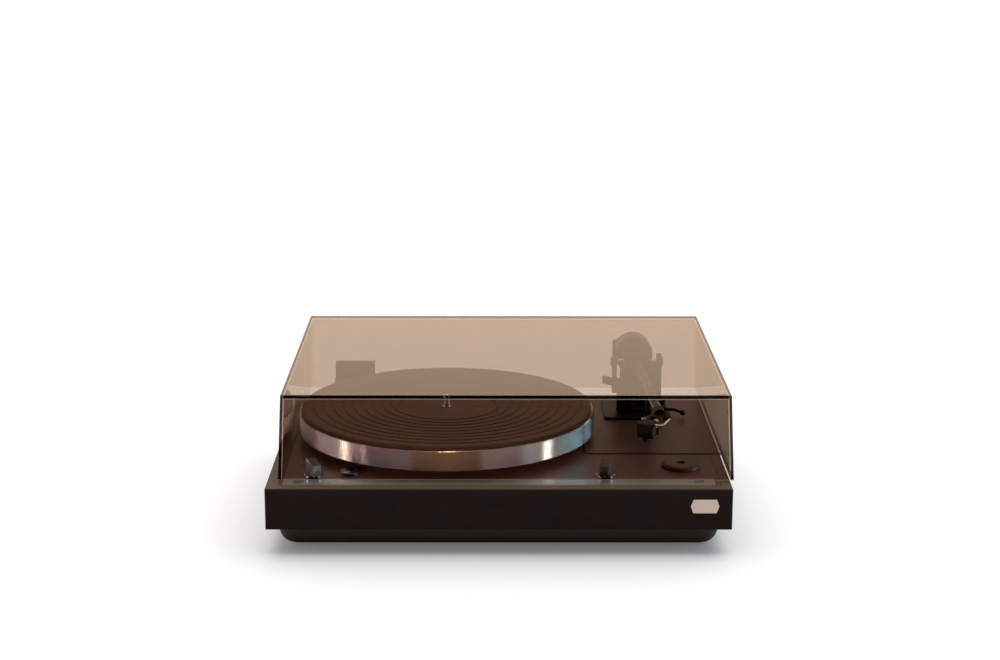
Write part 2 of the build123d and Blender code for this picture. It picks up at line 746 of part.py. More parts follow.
# Inner platter: hub, web and the rim that the belt runs on
inner_top = platter_top - platter_plate
rim_inside = inner_platter_radius - inner_platter_rim
with BuildPart() as inner_platter:
    with BuildSketch(spindle_turning):
        with BuildLine():
            Polyline(
                (shaft_radius, 5.5),
                (inner_hub_radius, 5.5),
                (inner_hub_radius, inner_top - inner_platter_web),
                (rim_inside, inner_top - inner_platter_web),
                (rim_inside, inner_platter_bottom),
                (inner_platter_radius, inner_platter_bottom),
                (inner_platter_radius, inner_top),
                (shaft_radius, inner_top),
                close=True,
            )
        make_face()
    revolve(axis=spindle_axis)
    with BuildSketch(spindle_plane.offset(inner_top)):
        with PolarLocations((inner_hub_radius + rim_inside) / 2, 6):
            Circle(9)
    extrude(amount=-inner_platter_web, mode=Mode.SUBTRACT)
inner_platter.part.label = "inner_platter"
export_step(inner_platter.part, "parts/inner_platter.step")

# Outer platter: turned disc with a deep skirt and a bright chamfered shoulder
with BuildPart() as outer_platter:
    with BuildSketch(spindle_turning):
        with BuildLine():
            Polyline(
                (spindle_seat_radius, inner_top),
                (platter_radius - platter_skirt_wall - 5, inner_top),
                (platter_radius - platter_skirt_wall, inner_top - 5),
                (platter_radius - platter_skirt_wall, platter_skirt_bottom),
                (platter_radius - 0.6, platter_skirt_bottom),
                (platter_radius, platter_skirt_bottom + 0.6),
                (platter_radius, platter_top - 0.7),
                (platter_radius - 0.7, platter_top),
                (spindle_seat_radius, platter_top),
                close=True,
            )
        make_face()
    revolve(axis=spindle_axis)
outer_platter.part.label = "outer_platter"
export_step(outer_platter.part, "parts/outer_platter.step")

# Rubber mat: a sunk label area, raised ribs in rings, and a rounded rim
mat_low = platter_top
mat_high = platter_top + mat_thickness
groove_pitch = (mat_radius - 6 - mat_label_radius) / mat_groove_count
with BuildPart() as platter_mat:
    with BuildSketch(spindle_turning):
        with BuildLine():
            Polyline(
                (spindle_seat_radius, mat_low),
                (mat_radius, mat_low),
                (mat_radius, mat_high - 1.0),
                (mat_radius - 1.0, mat_high),
                (mat_label_radius, mat_high),
                (mat_label_radius - mat_label_sunk, label_level),
                (spindle_seat_radius, label_level),
                close=True,
            )
        make_face()
        for index in range(mat_groove_count):
            with Locations((mat_label_radius + (index + 0.5) * groove_pitch, mat_high)):
                Rectangle(groove_pitch * 0.35, mat_label_sunk, mode=Mode.SUBTRACT)
    revolve(axis=spindle_axis)
platter_mat.part.label = "platter_mat"
export_step(platter_mat.part, "parts/platter_mat.step")

# Motor on a plate hung from three rubber isolators, its shaft and the two-step pulley
motor_under = motor_top - motor_height
with BuildPart() as motor:
    with BuildSketch(Plane.XY.offset(motor_under)):
        with Locations((motor_x, motor_y)):
            Circle(motor_radius)
    extrude(amount=motor_height)
    chamfer(motor.edges().filter_by(GeomType.CIRCLE), motor_edge_break)
    with BuildSketch(Plane.XY.offset(motor_top)):
        with Locations((motor_x, motor_y)):
            Circle(motor_shaft_radius + shaft_fit)
    extrude(amount=-motor_height / 2, mode=Mode.SUBTRACT)
motor.part.label = "motor"
export_step(motor.part, "parts/motor.step")

with BuildPart() as motor_plate:
    with BuildSketch(Plane.XY.offset(motor_top)):
        with Locations((motor_x, motor_y)):
            Circle(isolator_reach + isolator_radius + plate_margin)
            Circle(isolator_radius, mode=Mode.SUBTRACT)
            with PolarLocations(isolator_reach, 3, start_angle=30):
                Circle(motor_screw_radius + motor_screw_gap, mode=Mode.SUBTRACT)
    extrude(amount=motor_plate_thickness)
motor_plate.part.label = "motor_plate"
export_step(motor_plate.part, "parts/motor_plate.step")

with BuildPart() as motor_isolators:
    with BuildSketch(Plane.XY.offset(motor_plate_top)):
        with Locations((motor_x, motor_y)):
            with PolarLocations(isolator_reach, 3, start_angle=30):
                Circle(isolator_radius)
                Circle(motor_screw_radius + motor_screw_gap, mode=Mode.SUBTRACT)
    extrude(amount=isolator_height)
motor_isolators.part.label = "motor_isolators"
export_step(motor_isolators.part, "parts/motor_isolators.step")

with BuildPart() as motor_screws:
    with BuildSketch(Plane.XY.offset(motor_top)):
        with Locations((motor_x, motor_y)):
            with PolarLocations(isolator_reach, 3, start_angle=30):
                Circle(motor_screw_head)
    extrude(amount=-motor_screw_head_height)
    with BuildSketch(Plane.XY.offset(motor_top)):
        with Locations((motor_x, motor_y)):
            with PolarLocations(isolator_reach, 3, start_angle=30):
                Circle(motor_screw_radius)
    extrude(amount=motor_plate_thickness + isolator_height)
motor_screws.part.label = "motor_screws"
export_step(motor_screws.part, "parts/motor_screws.step")

pulley_top = pulley_bottom + 2 * pulley_step
with BuildPart() as motor_shaft:
    with BuildSketch(Plane.XY.offset(motor_top - motor_height / 2 + 2)):
        with Locations((motor_x, motor_y)):
            Circle(motor_shaft_radius)
    extrude(amount=deck_z + pulley_top - motor_top + motor_height / 2 - 2)
motor_shaft.part.label = "motor_shaft"
export_step(motor_shaft.part, "parts/motor_shaft.step")

with BuildPart() as pulley:
    with BuildSketch(motor_turning):
        with BuildLine():
            Polyline(
                (motor_shaft_radius, pulley_bottom - 1.2),
                (pulley_large_radius + 1.2, pulley_bottom - 1.2),
                (pulley_large_radius + 1.2, pulley_bottom - 0.2),
                (pulley_large_radius, pulley_bottom),
                (pulley_large_radius, pulley_bottom + pulley_step),
                (pulley_small_radius, pulley_bottom + pulley_step),
                (pulley_small_radius, pulley_top),
                (motor_shaft_radius, pulley_top),
                close=True,
            )
        make_face()
    revolve(axis=motor_axis)
pulley.part.label = "pulley"
export_step(pulley.part, "parts/pulley.step")

# Flat rubber belt round the inner platter and the pulley's small step
belt_bottom = deck_z + pulley_bottom + pulley_step + 0.4
with BuildPart() as drive_belt:
    with BuildSketch(Plane.XY.offset(belt_bottom)):
        with Locations((spindle_x, spindle_y)):
            Circle(inner_platter_radius + belt_gap + belt_thickness)
        with Locations((motor_x, motor_y)):
            Circle(pulley_small_radius + belt_gap + belt_thickness)
        make_hull()
    extrude(amount=belt_height)
    with BuildSketch(Plane.XY.offset(belt_bottom)):
        with Locations((spindle_x, spindle_y)):
            Circle(inner_platter_radius + belt_gap)
        with Locations((motor_x, motor_y)):
            Circle(pulley_small_radius + belt_gap)
        make_hull()
    extrude(amount=belt_height, mode=Mode.SUBTRACT)
drive_belt.part.label = "drive_belt"
export_step(drive_belt.part, "parts/drive_belt.step")

# Controls: two switch bodies under the panel, and the knobs with their shafts
knob_z = deck_z + knob_gap
shaft_low = panel_bottom - switch_height + 2
controls = {
    "speed": {"x": speed_x, "turn": speed_knob_turn},
    "start": {"x": start_x, "turn": start_knob_turn},
}
with BuildPart() as switch_bodies:
    with BuildSketch(Plane.XY.offset(panel_bottom - switch_height)):
        with Locations((speed_x, control_y), (start_x, control_y)):
            Rectangle(switch_size, switch_size * 0.8)
            Circle(switch_shaft_radius + switch_shaft_fit, mode=Mode.SUBTRACT)
    extrude(amount=switch_height)
switch_bodies.part.label = "switch_bodies"
export_step(switch_bodies.part, "parts/switch_bodies.step")

for control, place in controls.items():
    knob_plane = Plane((place["x"], control_y, knob_z)).rotated((0, 0, place["turn"]))
    bar_side = Plane(knob_plane.origin, x_dir=knob_plane.y_dir, z_dir=knob_plane.x_dir)
    with BuildPart() as knob:
        with BuildSketch(knob_plane):
            Circle(knob_skirt_radius)
        extrude(amount=knob_skirt_height)
        chamfer(knob.faces().sort_by(Axis.Z)[-1].edges(), 0.6)
        with BuildSketch(bar_side.offset(-knob_bar_width / 2)):
            with BuildLine():
                Polyline(
                    (-knob_bar_length / 2, knob_skirt_height / 2),
                    (knob_bar_length / 2, knob_skirt_height / 2),
                    (knob_bar_length / 2 - 0.8, knob_height),
                    (knob_bar_length / 2 - 4.5, knob_height),
                    (-knob_bar_length / 2 + 0.8, knob_height * 0.78),
                    close=True,
                )
            make_face()
        extrude(amount=knob_bar_width)
        with BuildSketch(knob_plane):
            Circle(switch_shaft_radius)
        extrude(amount=-(knob_z - shaft_low))
    knob.part.label = f"{control}_knob"
    export_step(knob.part, f"parts/{control}_knob.step")

# Fine speed knob: a low knurled disc with a slot, on its own small control
trim_plane = Plane((trim_x, trim_y, knob_z))
with BuildPart() as trim_knob:
    with BuildSketch(trim_plane):
        Circle(trim_radius)
        with PolarLocations(trim_radius, 24):
            Circle(0.5, mode=Mode.SUBTRACT)
    extrude(amount=trim_height)
    with BuildSketch(trim_plane.offset(trim_height)):
        Circle(trim_radius * 0.78)
    extrude(amount=-0.6, mode=Mode.SUBTRACT)
    with BuildSketch(trim_plane.offset(trim_height - 0.6)):
        with Locations((0, trim_radius * 0.45)):
            Rectangle(1.0, trim_radius * 0.5)
    extrude(amount=-0.8, mode=Mode.SUBTRACT)
    with BuildSketch(trim_plane):
        Circle(switch_shaft_radius)
    extrude(amount=-(knob_z - shaft_low))
trim_knob.part.label = "trim_knob"
export_step(trim_knob.part, "parts/trim_knob.step")

with BuildPart() as trim_control:
    with BuildSketch(Plane.XY.offset(panel_bottom - switch_height)):
        with Locations((trim_x, trim_y)):
            Circle(trim_control_radius)
            Circle(switch_shaft_radius + switch_shaft_fit, mode=Mode.SUBTRACT)
    extrude(amount=switch_height)
trim_control.part.label = "trim_control"
export_step(trim_control.part, "parts/trim_control.step")

# Adaptor for records with a large hole, resting loosely in its recess
adaptor_plane = Plane((adaptor_x, adaptor_y, deck_z), x_dir=(1, 0, 0), z_dir=(0, -1, 0))
adaptor_low = -adaptor_sunk
adaptor_high = adaptor_height - adaptor_sunk
with BuildPart() as single_adaptor:
    with BuildSketch(adaptor_plane):
        with BuildLine():
            Polyline(
                (adaptor_bore, adaptor_low),
                (adaptor_radius, adaptor_low),
                (adaptor_radius, adaptor_high - 2.6),
            )
            ThreePointArc(
                (adaptor_radius, adaptor_high - 2.6),
                (adaptor_radius - 1.0, adaptor_high - 0.9),
                (adaptor_radius - 4.0, adaptor_high),
            )
            Polyline(
                (adaptor_radius - 4.0, adaptor_high),
                (adaptor_bore + 1.0, adaptor_high),
                (adaptor_bore, adaptor_high - 1.0),
                (adaptor_bore, adaptor_low),
            )
        make_face()
    revolve(axis=Axis((adaptor_x, adaptor_y, 0), (0, 0, 1)))
single_adaptor.part.label = "single_adaptor"
export_step(single_adaptor.part, "parts/single_adaptor.step")

# Arm base: a plate on the armboard and the pillar with its threaded sleeve and nut
plate_z = board_top
plate_top = board_top + arm_plate_thickness
arm_plate_y = arm_y - arm_plate_ahead + arm_plate_depth / 2
lift_x = arm_x - lift_reach * sin(radians(lift_turn))
lift_y = arm_y - lift_reach * cos(radians(lift_turn))
lever_plane = Plane(
    (arm_x, arm_y - lever_shaft_ahead, deck_z + lever_shaft_height), x_dir=(0, 1, 0), z_dir=(1, 0, 0)
)
dial_x = arm_x + yoke_width / 2 - dial_radius / 2 + 1
dial_y = arm_y - dial_radius - 1
with BuildPart() as arm_base:
    with BuildSketch(Plane.XY.offset(plate_z)):
        with Locations((arm_x - 1.5, arm_plate_y)):
            RectangleRounded(arm_plate_width, arm_plate_depth, 6)
        with Locations((arm_x, arm_y)):
            Circle(pillar_sleeve_radius, mode=Mode.SUBTRACT)
        with Locations((dial_x, dial_y)):
            Circle(dial_stem_radius + lever_shaft_fit, mode=Mode.SUBTRACT)
    extrude(amount=arm_plate_thickness)
    chamfer(arm_base.faces().sort_by(Axis.Z)[-1].outer_wire().edges(), 0.6)
    with BuildSketch(lever_plane.offset(lever_right_end - lever_post_width - lever_gap)):
        Circle(lever_shaft_radius + 2.2)
        with Locations((0, (plate_top - deck_z - lever_shaft_height) / 2)):
            Rectangle(2 * lever_shaft_radius + 4.4, lever_shaft_height - plate_top + deck_z)
        Circle(lever_shaft_radius + lever_shaft_fit, mode=Mode.SUBTRACT)
    extrude(amount=lever_post_width)
arm_base.part.label = "arm_base"
export_step(arm_base.part, "parts/arm_base.step")

sleeve_bottom = board_bottom - 9
with BuildPart() as arm_pillar:
    with BuildSketch(Plane.XY.offset(plate_top)):
        with Locations((arm_x, arm_y)):
            Circle(pillar_radius)
    extrude(amount=deck_z + pillar_top - plate_top)
    chamfer(arm_pillar.faces().sort_by(Axis.Z)[-1].edges(), 1)
    with BuildSketch(Plane.XY.offset(sleeve_bottom)):
        with Locations((arm_x, arm_y)):
            Circle(pillar_sleeve_radius)
    extrude(amount=plate_top - sleeve_bottom)
    with BuildSketch(Plane.XY.offset(sleeve_bottom + 2)):
        with Locations((arm_x, arm_y)):
            Circle(yaw_shaft_radius + yaw_shaft_fit)
    extrude(amount=plinth_height, mode=Mode.SUBTRACT)
arm_pillar.part.label = "arm_pillar"
export_step(arm_pillar.part, "parts/arm_pillar.step")

with BuildPart() as arm_nut:
    with BuildSketch(Plane.XY.offset(board_bottom)):
        with Locations((arm_x, arm_y)):
            RegularPolygon(arm_nut_size, 6, major_radius=False)
            Circle(pillar_sleeve_radius, mode=Mode.SUBTRACT)
    extrude(amount=-arm_nut_height)
arm_nut.part.label = "arm_nut"
export_step(arm_nut.part, "parts/arm_nut.step")

# Gimbal yoke: turns in the pillar; its two uprights hold the horizontal pivots, the left one runs up as a fin
yoke_low = deck_z + pillar_top + yoke_gap
with BuildPart() as gimbal_yoke:
    with BuildSketch(Plane.XY.offset(yoke_low)):
        with Locations((arm_x, arm_y)):
            RectangleRounded(yoke_width, yoke_depth, 3)
    extrude(amount=yoke_base)
    for inner_x in (-yoke_width / 2, yoke_width / 2 - yoke_wall):
        with BuildSketch(side_plane.offset(inner_x)):
            with Locations((0, arm_height)):
                Circle(yoke_head_radius)
            with Locations((0, (pillar_top + yoke_gap + arm_height) / 2)):
                Rectangle(yoke_depth, arm_height - pillar_top - yoke_gap)
        extrude(amount=yoke_wall)
    with BuildSketch(side_plane.offset(-yoke_width / 2)):
        with BuildLine():
            Polyline(
                (-2.5, arm_height),
                (4.5, arm_height),
                (3.0, yoke_fin_top - 3),
                (1.0, yoke_fin_top),
                (-1.5, yoke_fin_top - 1),
                close=True,
            )
        make_face()
    extrude(amount=yoke_wall)
    with BuildSketch(side_plane.offset(-yoke_width / 2)):
        with Locations((0, arm_height)):
            Circle(pivot_screw_radius)
    extrude(amount=yoke_width, mode=Mode.SUBTRACT)
    with BuildSketch(Plane.XY.offset(yoke_low)):
        with Locations((arm_x, arm_y)):
            Circle(yaw_shaft_radius)
    extrude(amount=-(yoke_low - sleeve_bottom - 3))
gimbal_yoke.part.label = "gimbal_yoke"
export_step(gimbal_yoke.part, "parts/gimbal_yoke.step")

pivot_screw_start = block_width / 2 - pivot_screw_into_block
pivot_screw_end = yoke_width / 2 + pivot_screw_out
with BuildPart() as pivot_screws:
    for start in (-pivot_screw_end, pivot_screw_start):
        with BuildSketch(side_plane.offset(start)):
            with Locations((0, arm_height)):
                Circle(pivot_screw_radius)
        extrude(amount=pivot_screw_end - pivot_screw_start)
    for start in (-yoke_width / 2 - pivot_nut_height, yoke_width / 2):
        with BuildSketch(side_plane.offset(start)):
            with Locations((0, arm_height)):
                RegularPolygon(pivot_nut_size, 6, major_radius=False)
        extrude(amount=pivot_nut_height)
pivot_screws.part.label = "pivot_screws"
export_step(pivot_screws.part, "parts/pivot_screws.step")

# Moving arm: pivot block, tube, headshell and the stub for the counterweight
block_plane = along_tube.offset(arm_height - block_height / 2)
with BuildPart() as pivot_block:
    with BuildSketch(block_plane):
        RectangleRounded(block_width, block_depth, 3)
    extrude(amount=block_height)
    chamfer(pivot_block.faces().sort_by(Axis.Z)[-1].edges(), 1)
    with BuildSketch(side_plane.offset(-yoke_width / 2)):
        with Locations((0, arm_height)):
            Circle(pivot_screw_radius + pivot_screw_fit)
    extrude(amount=yoke_width, mode=Mode.SUBTRACT)
    with BuildSketch(tube_plane.offset(tube_length + block_depth / 2 - 1)):
        Circle(stub_radius)
    extrude(amount=stub_length + 1)
    chamfer(pivot_block.faces().sort_by(Axis.Y)[-1].edges(), 0.8)
pivot_block.part.label = "pivot_block"
export_step(pivot_block.part, "parts/pivot_block.step")

tube_front = 4.0
with BuildPart() as arm_tube:
    with BuildSketch(tube_plane.offset(tube_front)):
        Circle(tube_radius)
        Circle(tube_radius - tube_wall, mode=Mode.SUBTRACT)
    extrude(amount=tube_length - tube_front - block_depth / 2)
arm_tube.part.label = "arm_tube"
export_step(arm_tube.part, "parts/arm_tube.step")

# Force dial and counterweight on the stub
dial_start = tube_length + counterweight_start - force_dial_length - dial_gap
with BuildPart() as force_dial:
    with BuildSketch(tube_plane.offset(dial_start)):
        Circle(force_dial_radius)
        Circle(stub_radius + counterweight_fit, mode=Mode.SUBTRACT)
    extrude(amount=force_dial_length)
    chamfer(force_dial.faces().sort_by(Axis.Y)[0].outer_wire().edges(), 1.2)
force_dial.part.label = "force_dial"
export_step(force_dial.part, "parts/force_dial.step")

with BuildPart() as counterweight:
    with BuildSketch(tube_plane.offset(tube_length + counterweight_start)):
        Circle(counterweight_radius)
        Circle(stub_radius + counterweight_fit, mode=Mode.SUBTRACT)
    extrude(amount=counterweight_length)
    chamfer(counterweight.edges().filter_by(GeomType.CIRCLE).group_by(SortBy.RADIUS)[-1], 1.5)
counterweight.part.label = "counterweight"
export_step(counterweight.part, "parts/counterweight.step")

# Headshell: a flat plate, wide in front, with a collar that holds the tube
shell_low = -shell_thickness / 2
with BuildPart() as headshell:
    with BuildSketch(shell_plane.offset(shell_low)):
        with BuildLine():
            Polyline(
                (-shell_width / 2, -shell_front + 2),
                (-shell_width / 2 + 2, -shell_front),
                (shell_width / 2 - 2, -shell_front),
                (shell_width / 2, -shell_front + 2),
                (shell_width / 2, shell_reach * 0.55),
                (shell_neck / 2, shell_reach),
                (-shell_neck / 2, shell_reach),
                (-shell_width / 2, shell_reach * 0.55),
                close=True,
            )
        make_face()
        with Locations((-screw_spacing / 2, screw_back), (screw_spacing / 2, screw_back)):
            SlotCenterToCenter(6, 2 * screw_radius, rotation=90, mode=Mode.SUBTRACT)
        with Locations((0, shell_reach * 0.48)):
            RectangleRounded(shell_neck * 0.7, shell_reach * 0.3, 1.4, mode=Mode.SUBTRACT)
    extrude(amount=shell_thickness)
    with BuildSketch(tube_plane.offset(-4)):
        Circle(tube_radius + 1.4)
    extrude(amount=tube_front + 10)
    with BuildSketch(tube_plane.offset(tube_front)):
        Circle(tube_radius)
    extrude(amount=20, mode=Mode.SUBTRACT)
headshell.part.label = "headshell"
export_step(headshell.part, "parts/headshell.step")

# Cartridge under the headshell, its stylus and screws
stylus_tip = platter_top + mat_thickness + stylus_above_mat - arm_height
holder_bottom = stylus_tip + tip_length
body_top = shell_low
body_bottom = shell_low - cartridge_height
body_front = -shell_front + 1.5
cartridge_side = Plane(shell_plane.origin, x_dir=shell_plane.y_dir, z_dir=shell_plane.x_dir)
with BuildPart() as cartridge:
    with BuildSketch(cartridge_side.offset(-cartridge_width / 2)):
        with BuildLine():
            Polyline(
                (body_front, body_top),
                (body_front + cartridge_length, body_top),
                (body_front + cartridge_length, body_bottom + 2),
                (body_front + cartridge_length * 0.6, body_bottom),
                (body_front + 2, body_bottom),
                (body_front, body_bottom + 5),
                close=True,
            )
        make_face()
    extrude(amount=cartridge_width)
    with BuildSketch(shell_plane.offset(body_top - 2.5)):
        with Locations((-screw_spacing / 2, screw_back), (screw_spacing / 2, screw_back)):
            Rectangle(5.4, 6.5)
    extrude(amount=-(cartridge_height - 2.5), mode=Mode.SUBTRACT)
    with BuildSketch(shell_plane.offset(body_top)):
        with Locations((-screw_spacing / 2, screw_back), (screw_spacing / 2, screw_back)):
            Circle(screw_radius)
    extrude(amount=-2.5, mode=Mode.SUBTRACT)
cartridge.part.label = "cartridge"
export_step(cartridge.part, "parts/cartridge.step")

with BuildPart() as stylus:
    with BuildSketch(cartridge_side.offset(-2.2)):
        with BuildLine():
            Polyline(
                (-4.5, body_bottom),
                (7.0, body_bottom),
                (6.0, holder_bottom),
                (-2.5, holder_bottom),
                close=True,
            )
        make_face()
    extrude(amount=4.4)
    with BuildSketch(shell_plane.offset(holder_bottom)):
        Circle(stylus_radius)
    extrude(amount=stylus_tip - holder_bottom, taper=degrees(atan2(stylus_radius - stylus_tip_radius, tip_length)))
stylus.part.label = "stylus"
export_step(stylus.part, "parts/stylus.step")

shell_top = shell_thickness / 2
screw_places = [(-screw_spacing / 2, screw_back), (screw_spacing / 2, screw_back)]
with BuildPart() as cartridge_screws:
    with BuildSketch(shell_plane.offset(shell_top)):
        with Locations(screw_places):
            Circle(screw_head_radius)
    extrude(amount=1.6)
    with BuildSketch(shell_plane.offset(shell_top)):
        with Locations(screw_places):
            Circle(screw_radius)
    extrude(amount=-(shell_thickness + 2.5 + 1.2))
cartridge_screws.part.label = "cartridge_screws"
export_step(cartridge_screws.part, "parts/cartridge_screws.step")

with BuildPart() as finger_lift:
    lift_edge = shell_width / 2
    with BuildLine(shell_plane.offset(0)) as lift_line:
        FilletPolyline(
            (lift_edge, finger_start, 0),
            (lift_edge + finger_level, finger_start, 0),
            (lift_edge + finger_out * 0.72, finger_start, finger_rise * 0.25),
            (lift_edge + finger_out, finger_start + finger_back, finger_rise),
            radius=finger_bend,
        )
    with BuildSketch(Plane(lift_line.line @ 0, z_dir=lift_line.line % 0)):
        Circle(finger_radius)
    sweep(path=lift_line.line)
finger_lift.part.label = "finger_lift"
export_step(finger_lift.part, "parts/finger_lift.step")

# Arm rest: a post with an open seat under the tube, a side stop and a pin for the clip
seat_top = arm_height - tube_radius - rest_seat_gap
wall_x = tube_radius + rest_side_gap
pin_x = wall_x + rest_wall / 2
pin_height = arm_height + tube_radius + 3.0
rest_foot = along_tube.offset(armboard_rise)
rest_cross = Plane(
    along_tube.from_local_coords((0, rest_seat_width / 2 - rest_reach, 0)),
    x_dir=along_tube.x_dir,
    z_dir=-along_tube.y_dir,
)
with BuildPart() as arm_rest:
    with BuildSketch(rest_foot):
        with Locations((2, -rest_reach)):
            Circle(rest_post_radius + 3)
    extrude(amount=2.5)
    with BuildSketch(rest_foot):
        with Locations((2, -rest_reach)):
            Circle(rest_post_radius)
    extrude(amount=seat_top - armboard_rise - 2)
    with BuildSketch(rest_cross):
        with BuildLine():
            Polyline(
                (-tube_radius, seat_top),
                (-tube_radius, seat_top - 3),
                (0, seat_top - 5),
                (wall_x + rest_wall, seat_top - 5),
                (wall_x + rest_wall, pin_height),
                (wall_x, pin_height),
                (wall_x, seat_top),
                close=True,
            )
        make_face()
        with Locations((pin_x, pin_height)):
            Circle(rest_wall / 2)
    extrude(amount=rest_seat_width)
    with BuildSketch(rest_cross.offset(rest_cheek)):
        with Locations((pin_x, pin_height - rest_wall * 0.7)):
            Rectangle(3 * rest_wall, 3 * rest_wall, align=(Align.CENTER, Align.MIN))
    extrude(amount=rest_seat_width - 2 * rest_cheek, mode=Mode.SUBTRACT)
    with BuildSketch(rest_cross):
        with Locations((pin_x, pin_height)):
            Circle(rest_pin_radius)
    extrude(amount=rest_seat_width)
arm_rest.part.label = "arm_rest"
export_step(arm_rest.part, "parts/arm_rest.step")

with BuildPart() as rest_clip:
    with BuildSketch(rest_cross.offset((rest_seat_width - rest_clip_width) / 2)):
        with Locations((pin_x, pin_height)):
            Circle(rest_clip_thickness * 0.85)
            with Locations((-rest_clip_thickness / 2, 0)):
                Rectangle(rest_clip_thickness, rest_clip_length, align=(Align.MIN, Align.MIN))
            Circle(rest_pin_radius + rest_pin_fit, mode=Mode.SUBTRACT)
    extrude(amount=rest_clip_width)
    fillet(rest_clip.edges().filter_by(Axis.Z, reverse=True).group_by(Axis.Z)[-1], 0.6)
rest_clip.part.label = "rest_clip"
export_step(rest_clip.part, "parts/rest_clip.step")

# Arm lift: a cylinder on the plate, and a piston that carries a curved rail under the tube
lift_plane = Plane((lift_x, lift_y, deck_z))
rail_top = arm_height - tube_radius - lift_rail_gap
rail_bottom = rail_top - lift_rail_height
rail_from = -90.0 + 5.0
with BuildPart() as lift_cylinder:
    with BuildSketch(lift_plane.offset(plate_top - deck_z)):
        Circle(lift_cylinder_radius)
    extrude(amount=lift_cylinder_top - plate_top + deck_z)
    chamfer(lift_cylinder.faces().sort_by(Axis.Z)[-1].edges(), 1.2)
    with BuildSketch(lift_plane.offset(lift_cylinder_top)):
        Circle(lift_piston_radius + lift_piston_fit)
    extrude(amount=-(lift_piston_depth + lift_travel + 2), mode=Mode.SUBTRACT)
    with BuildSketch(lever_plane.offset(lift_x - arm_x - 5)):
        Circle(lever_shaft_radius + lever_shaft_fit)
    extrude(amount=2 * lift_cylinder_radius, mode=Mode.SUBTRACT)
lift_cylinder.part.label = "lift_cylinder"
export_step(lift_cylinder.part, "parts/lift_cylinder.step")

with BuildPart() as lift_rail:
    with BuildSketch(lift_plane.offset(lift_cylinder_top - lift_piston_depth)):
        Circle(lift_piston_radius)
    extrude(amount=rail_bottom - lift_cylinder_top + lift_piston_depth)
    with BuildSketch(Plane.XY.offset(deck_z + rail_bottom - lift_bracket + 0.5)):
        with BuildLine():
            Line(
                (lift_x, lift_y),
                (arm_x - lift_rail_reach * sin(radians(lift_turn)), arm_y - lift_rail_reach * cos(radians(lift_turn))),
            )
        trace(line_width=2 * lift_piston_radius)
    extrude(amount=lift_bracket)
    with BuildSketch(along_tube.offset(rail_bottom)):
        with BuildLine():
            CenterArc((0, 0), lift_rail_reach, rail_from, -lift_rail_sweep)
        trace(line_width=lift_rail_thickness)
    extrude(amount=lift_rail_height)
lift_rail.part.label = "lift_rail"
export_step(lift_rail.part, "parts/lift_rail.step")

# Cue lever: a shaft through the cylinder and the post, with a curved handle
with BuildPart() as cue_lever:
    with BuildSketch(lever_plane.offset(lift_x - arm_x - 4.5)):
        Circle(lever_shaft_radius)
    extrude(amount=lever_right_end - (lift_x - arm_x) + 6.5)
    with BuildLine(lever_handle_plane) as handle_line:
        FilletPolyline(
            (lever_right_end + 1, 0),
            (lever_right_end + lever_reach_x * 0.5, 0),
            (lever_right_end + lever_reach_x, -lever_reach_y),
            radius=6,
        )
    with BuildSketch(Plane(handle_line.line @ 0, z_dir=handle_line.line % 0)):
        Circle(lever_rod_radius)
    sweep(path=handle_line.line)
    with Locations(lever_handle_plane.from_local_coords((lever_right_end + lever_reach_x, -lever_reach_y, 0))):
        Sphere(lever_tip_radius)
cue_lever.part.label = "cue_lever"
export_step(cue_lever.part, "parts/cue_lever.step")

# Side force dial on the plate
with BuildPart() as side_force_dial:
    with BuildSketch(Plane((dial_x, dial_y, plate_top + knob_gap))):
        Circle(dial_radius)
        with PolarLocations(dial_radius, 16):
            Circle(0.5, mode=Mode.SUBTRACT)
    extrude(amount=dial_height)
    chamfer(side_force_dial.faces().sort_by(Axis.Z)[-1].outer_wire().edges(), 0.3)
    with BuildSketch(Plane((dial_x, dial_y, plate_top + knob_gap))):
        Circle(dial_stem_radius)
    extrude(amount=-(knob_gap + arm_plate_thickness - 1))
side_force_dial.part.label = "side_force_dial"
export_step(side_force_dial.part, "parts/side_force_dial.step")

# Rear sockets: a plate over an opening in the plinth's back, two signal sockets, an earth post, the power inlet
socket_centre = rear_plane.offset(socket_panel_thickness)
with BuildPart() as socket_panel:
    with BuildSketch(rear_plane):
        with Locations((socket_x, socket_z)):
            RectangleRounded(socket_panel_width, socket_panel_height, 2)
            with Locations((0, 0), (socket_spacing, 0)):
                Circle(socket_radius, mode=Mode.SUBTRACT)
            with Locations((-socket_spacing, 0)):
                Circle(1.6, mode=Mode.SUBTRACT)
    extrude(amount=socket_panel_thickness)
socket_panel.part.label = "socket_panel"
export_step(socket_panel.part, "parts/socket_panel.step")

with BuildPart() as phono_sockets:
    with BuildSketch(rear_plane.offset(-6)):
        with Locations((socket_x, socket_z), (socket_x + socket_spacing, socket_z)):
            Circle(socket_radius)
    extrude(amount=6 + socket_panel_thickness + socket_length)
    with BuildSketch(socket_centre):
        with Locations((socket_x, socket_z), (socket_x + socket_spacing, socket_z)):
            Circle(socket_radius + 1.2)
    extrude(amount=1.2)
    with BuildSketch(socket_centre.offset(socket_length)):
        with Locations((socket_x, socket_z), (socket_x + socket_spacing, socket_z)):
            Circle(socket_bore)
    extrude(amount=-socket_length, mode=Mode.SUBTRACT)
phono_sockets.part.label = "phono_sockets"
export_step(phono_sockets.part, "parts/phono_sockets.step")

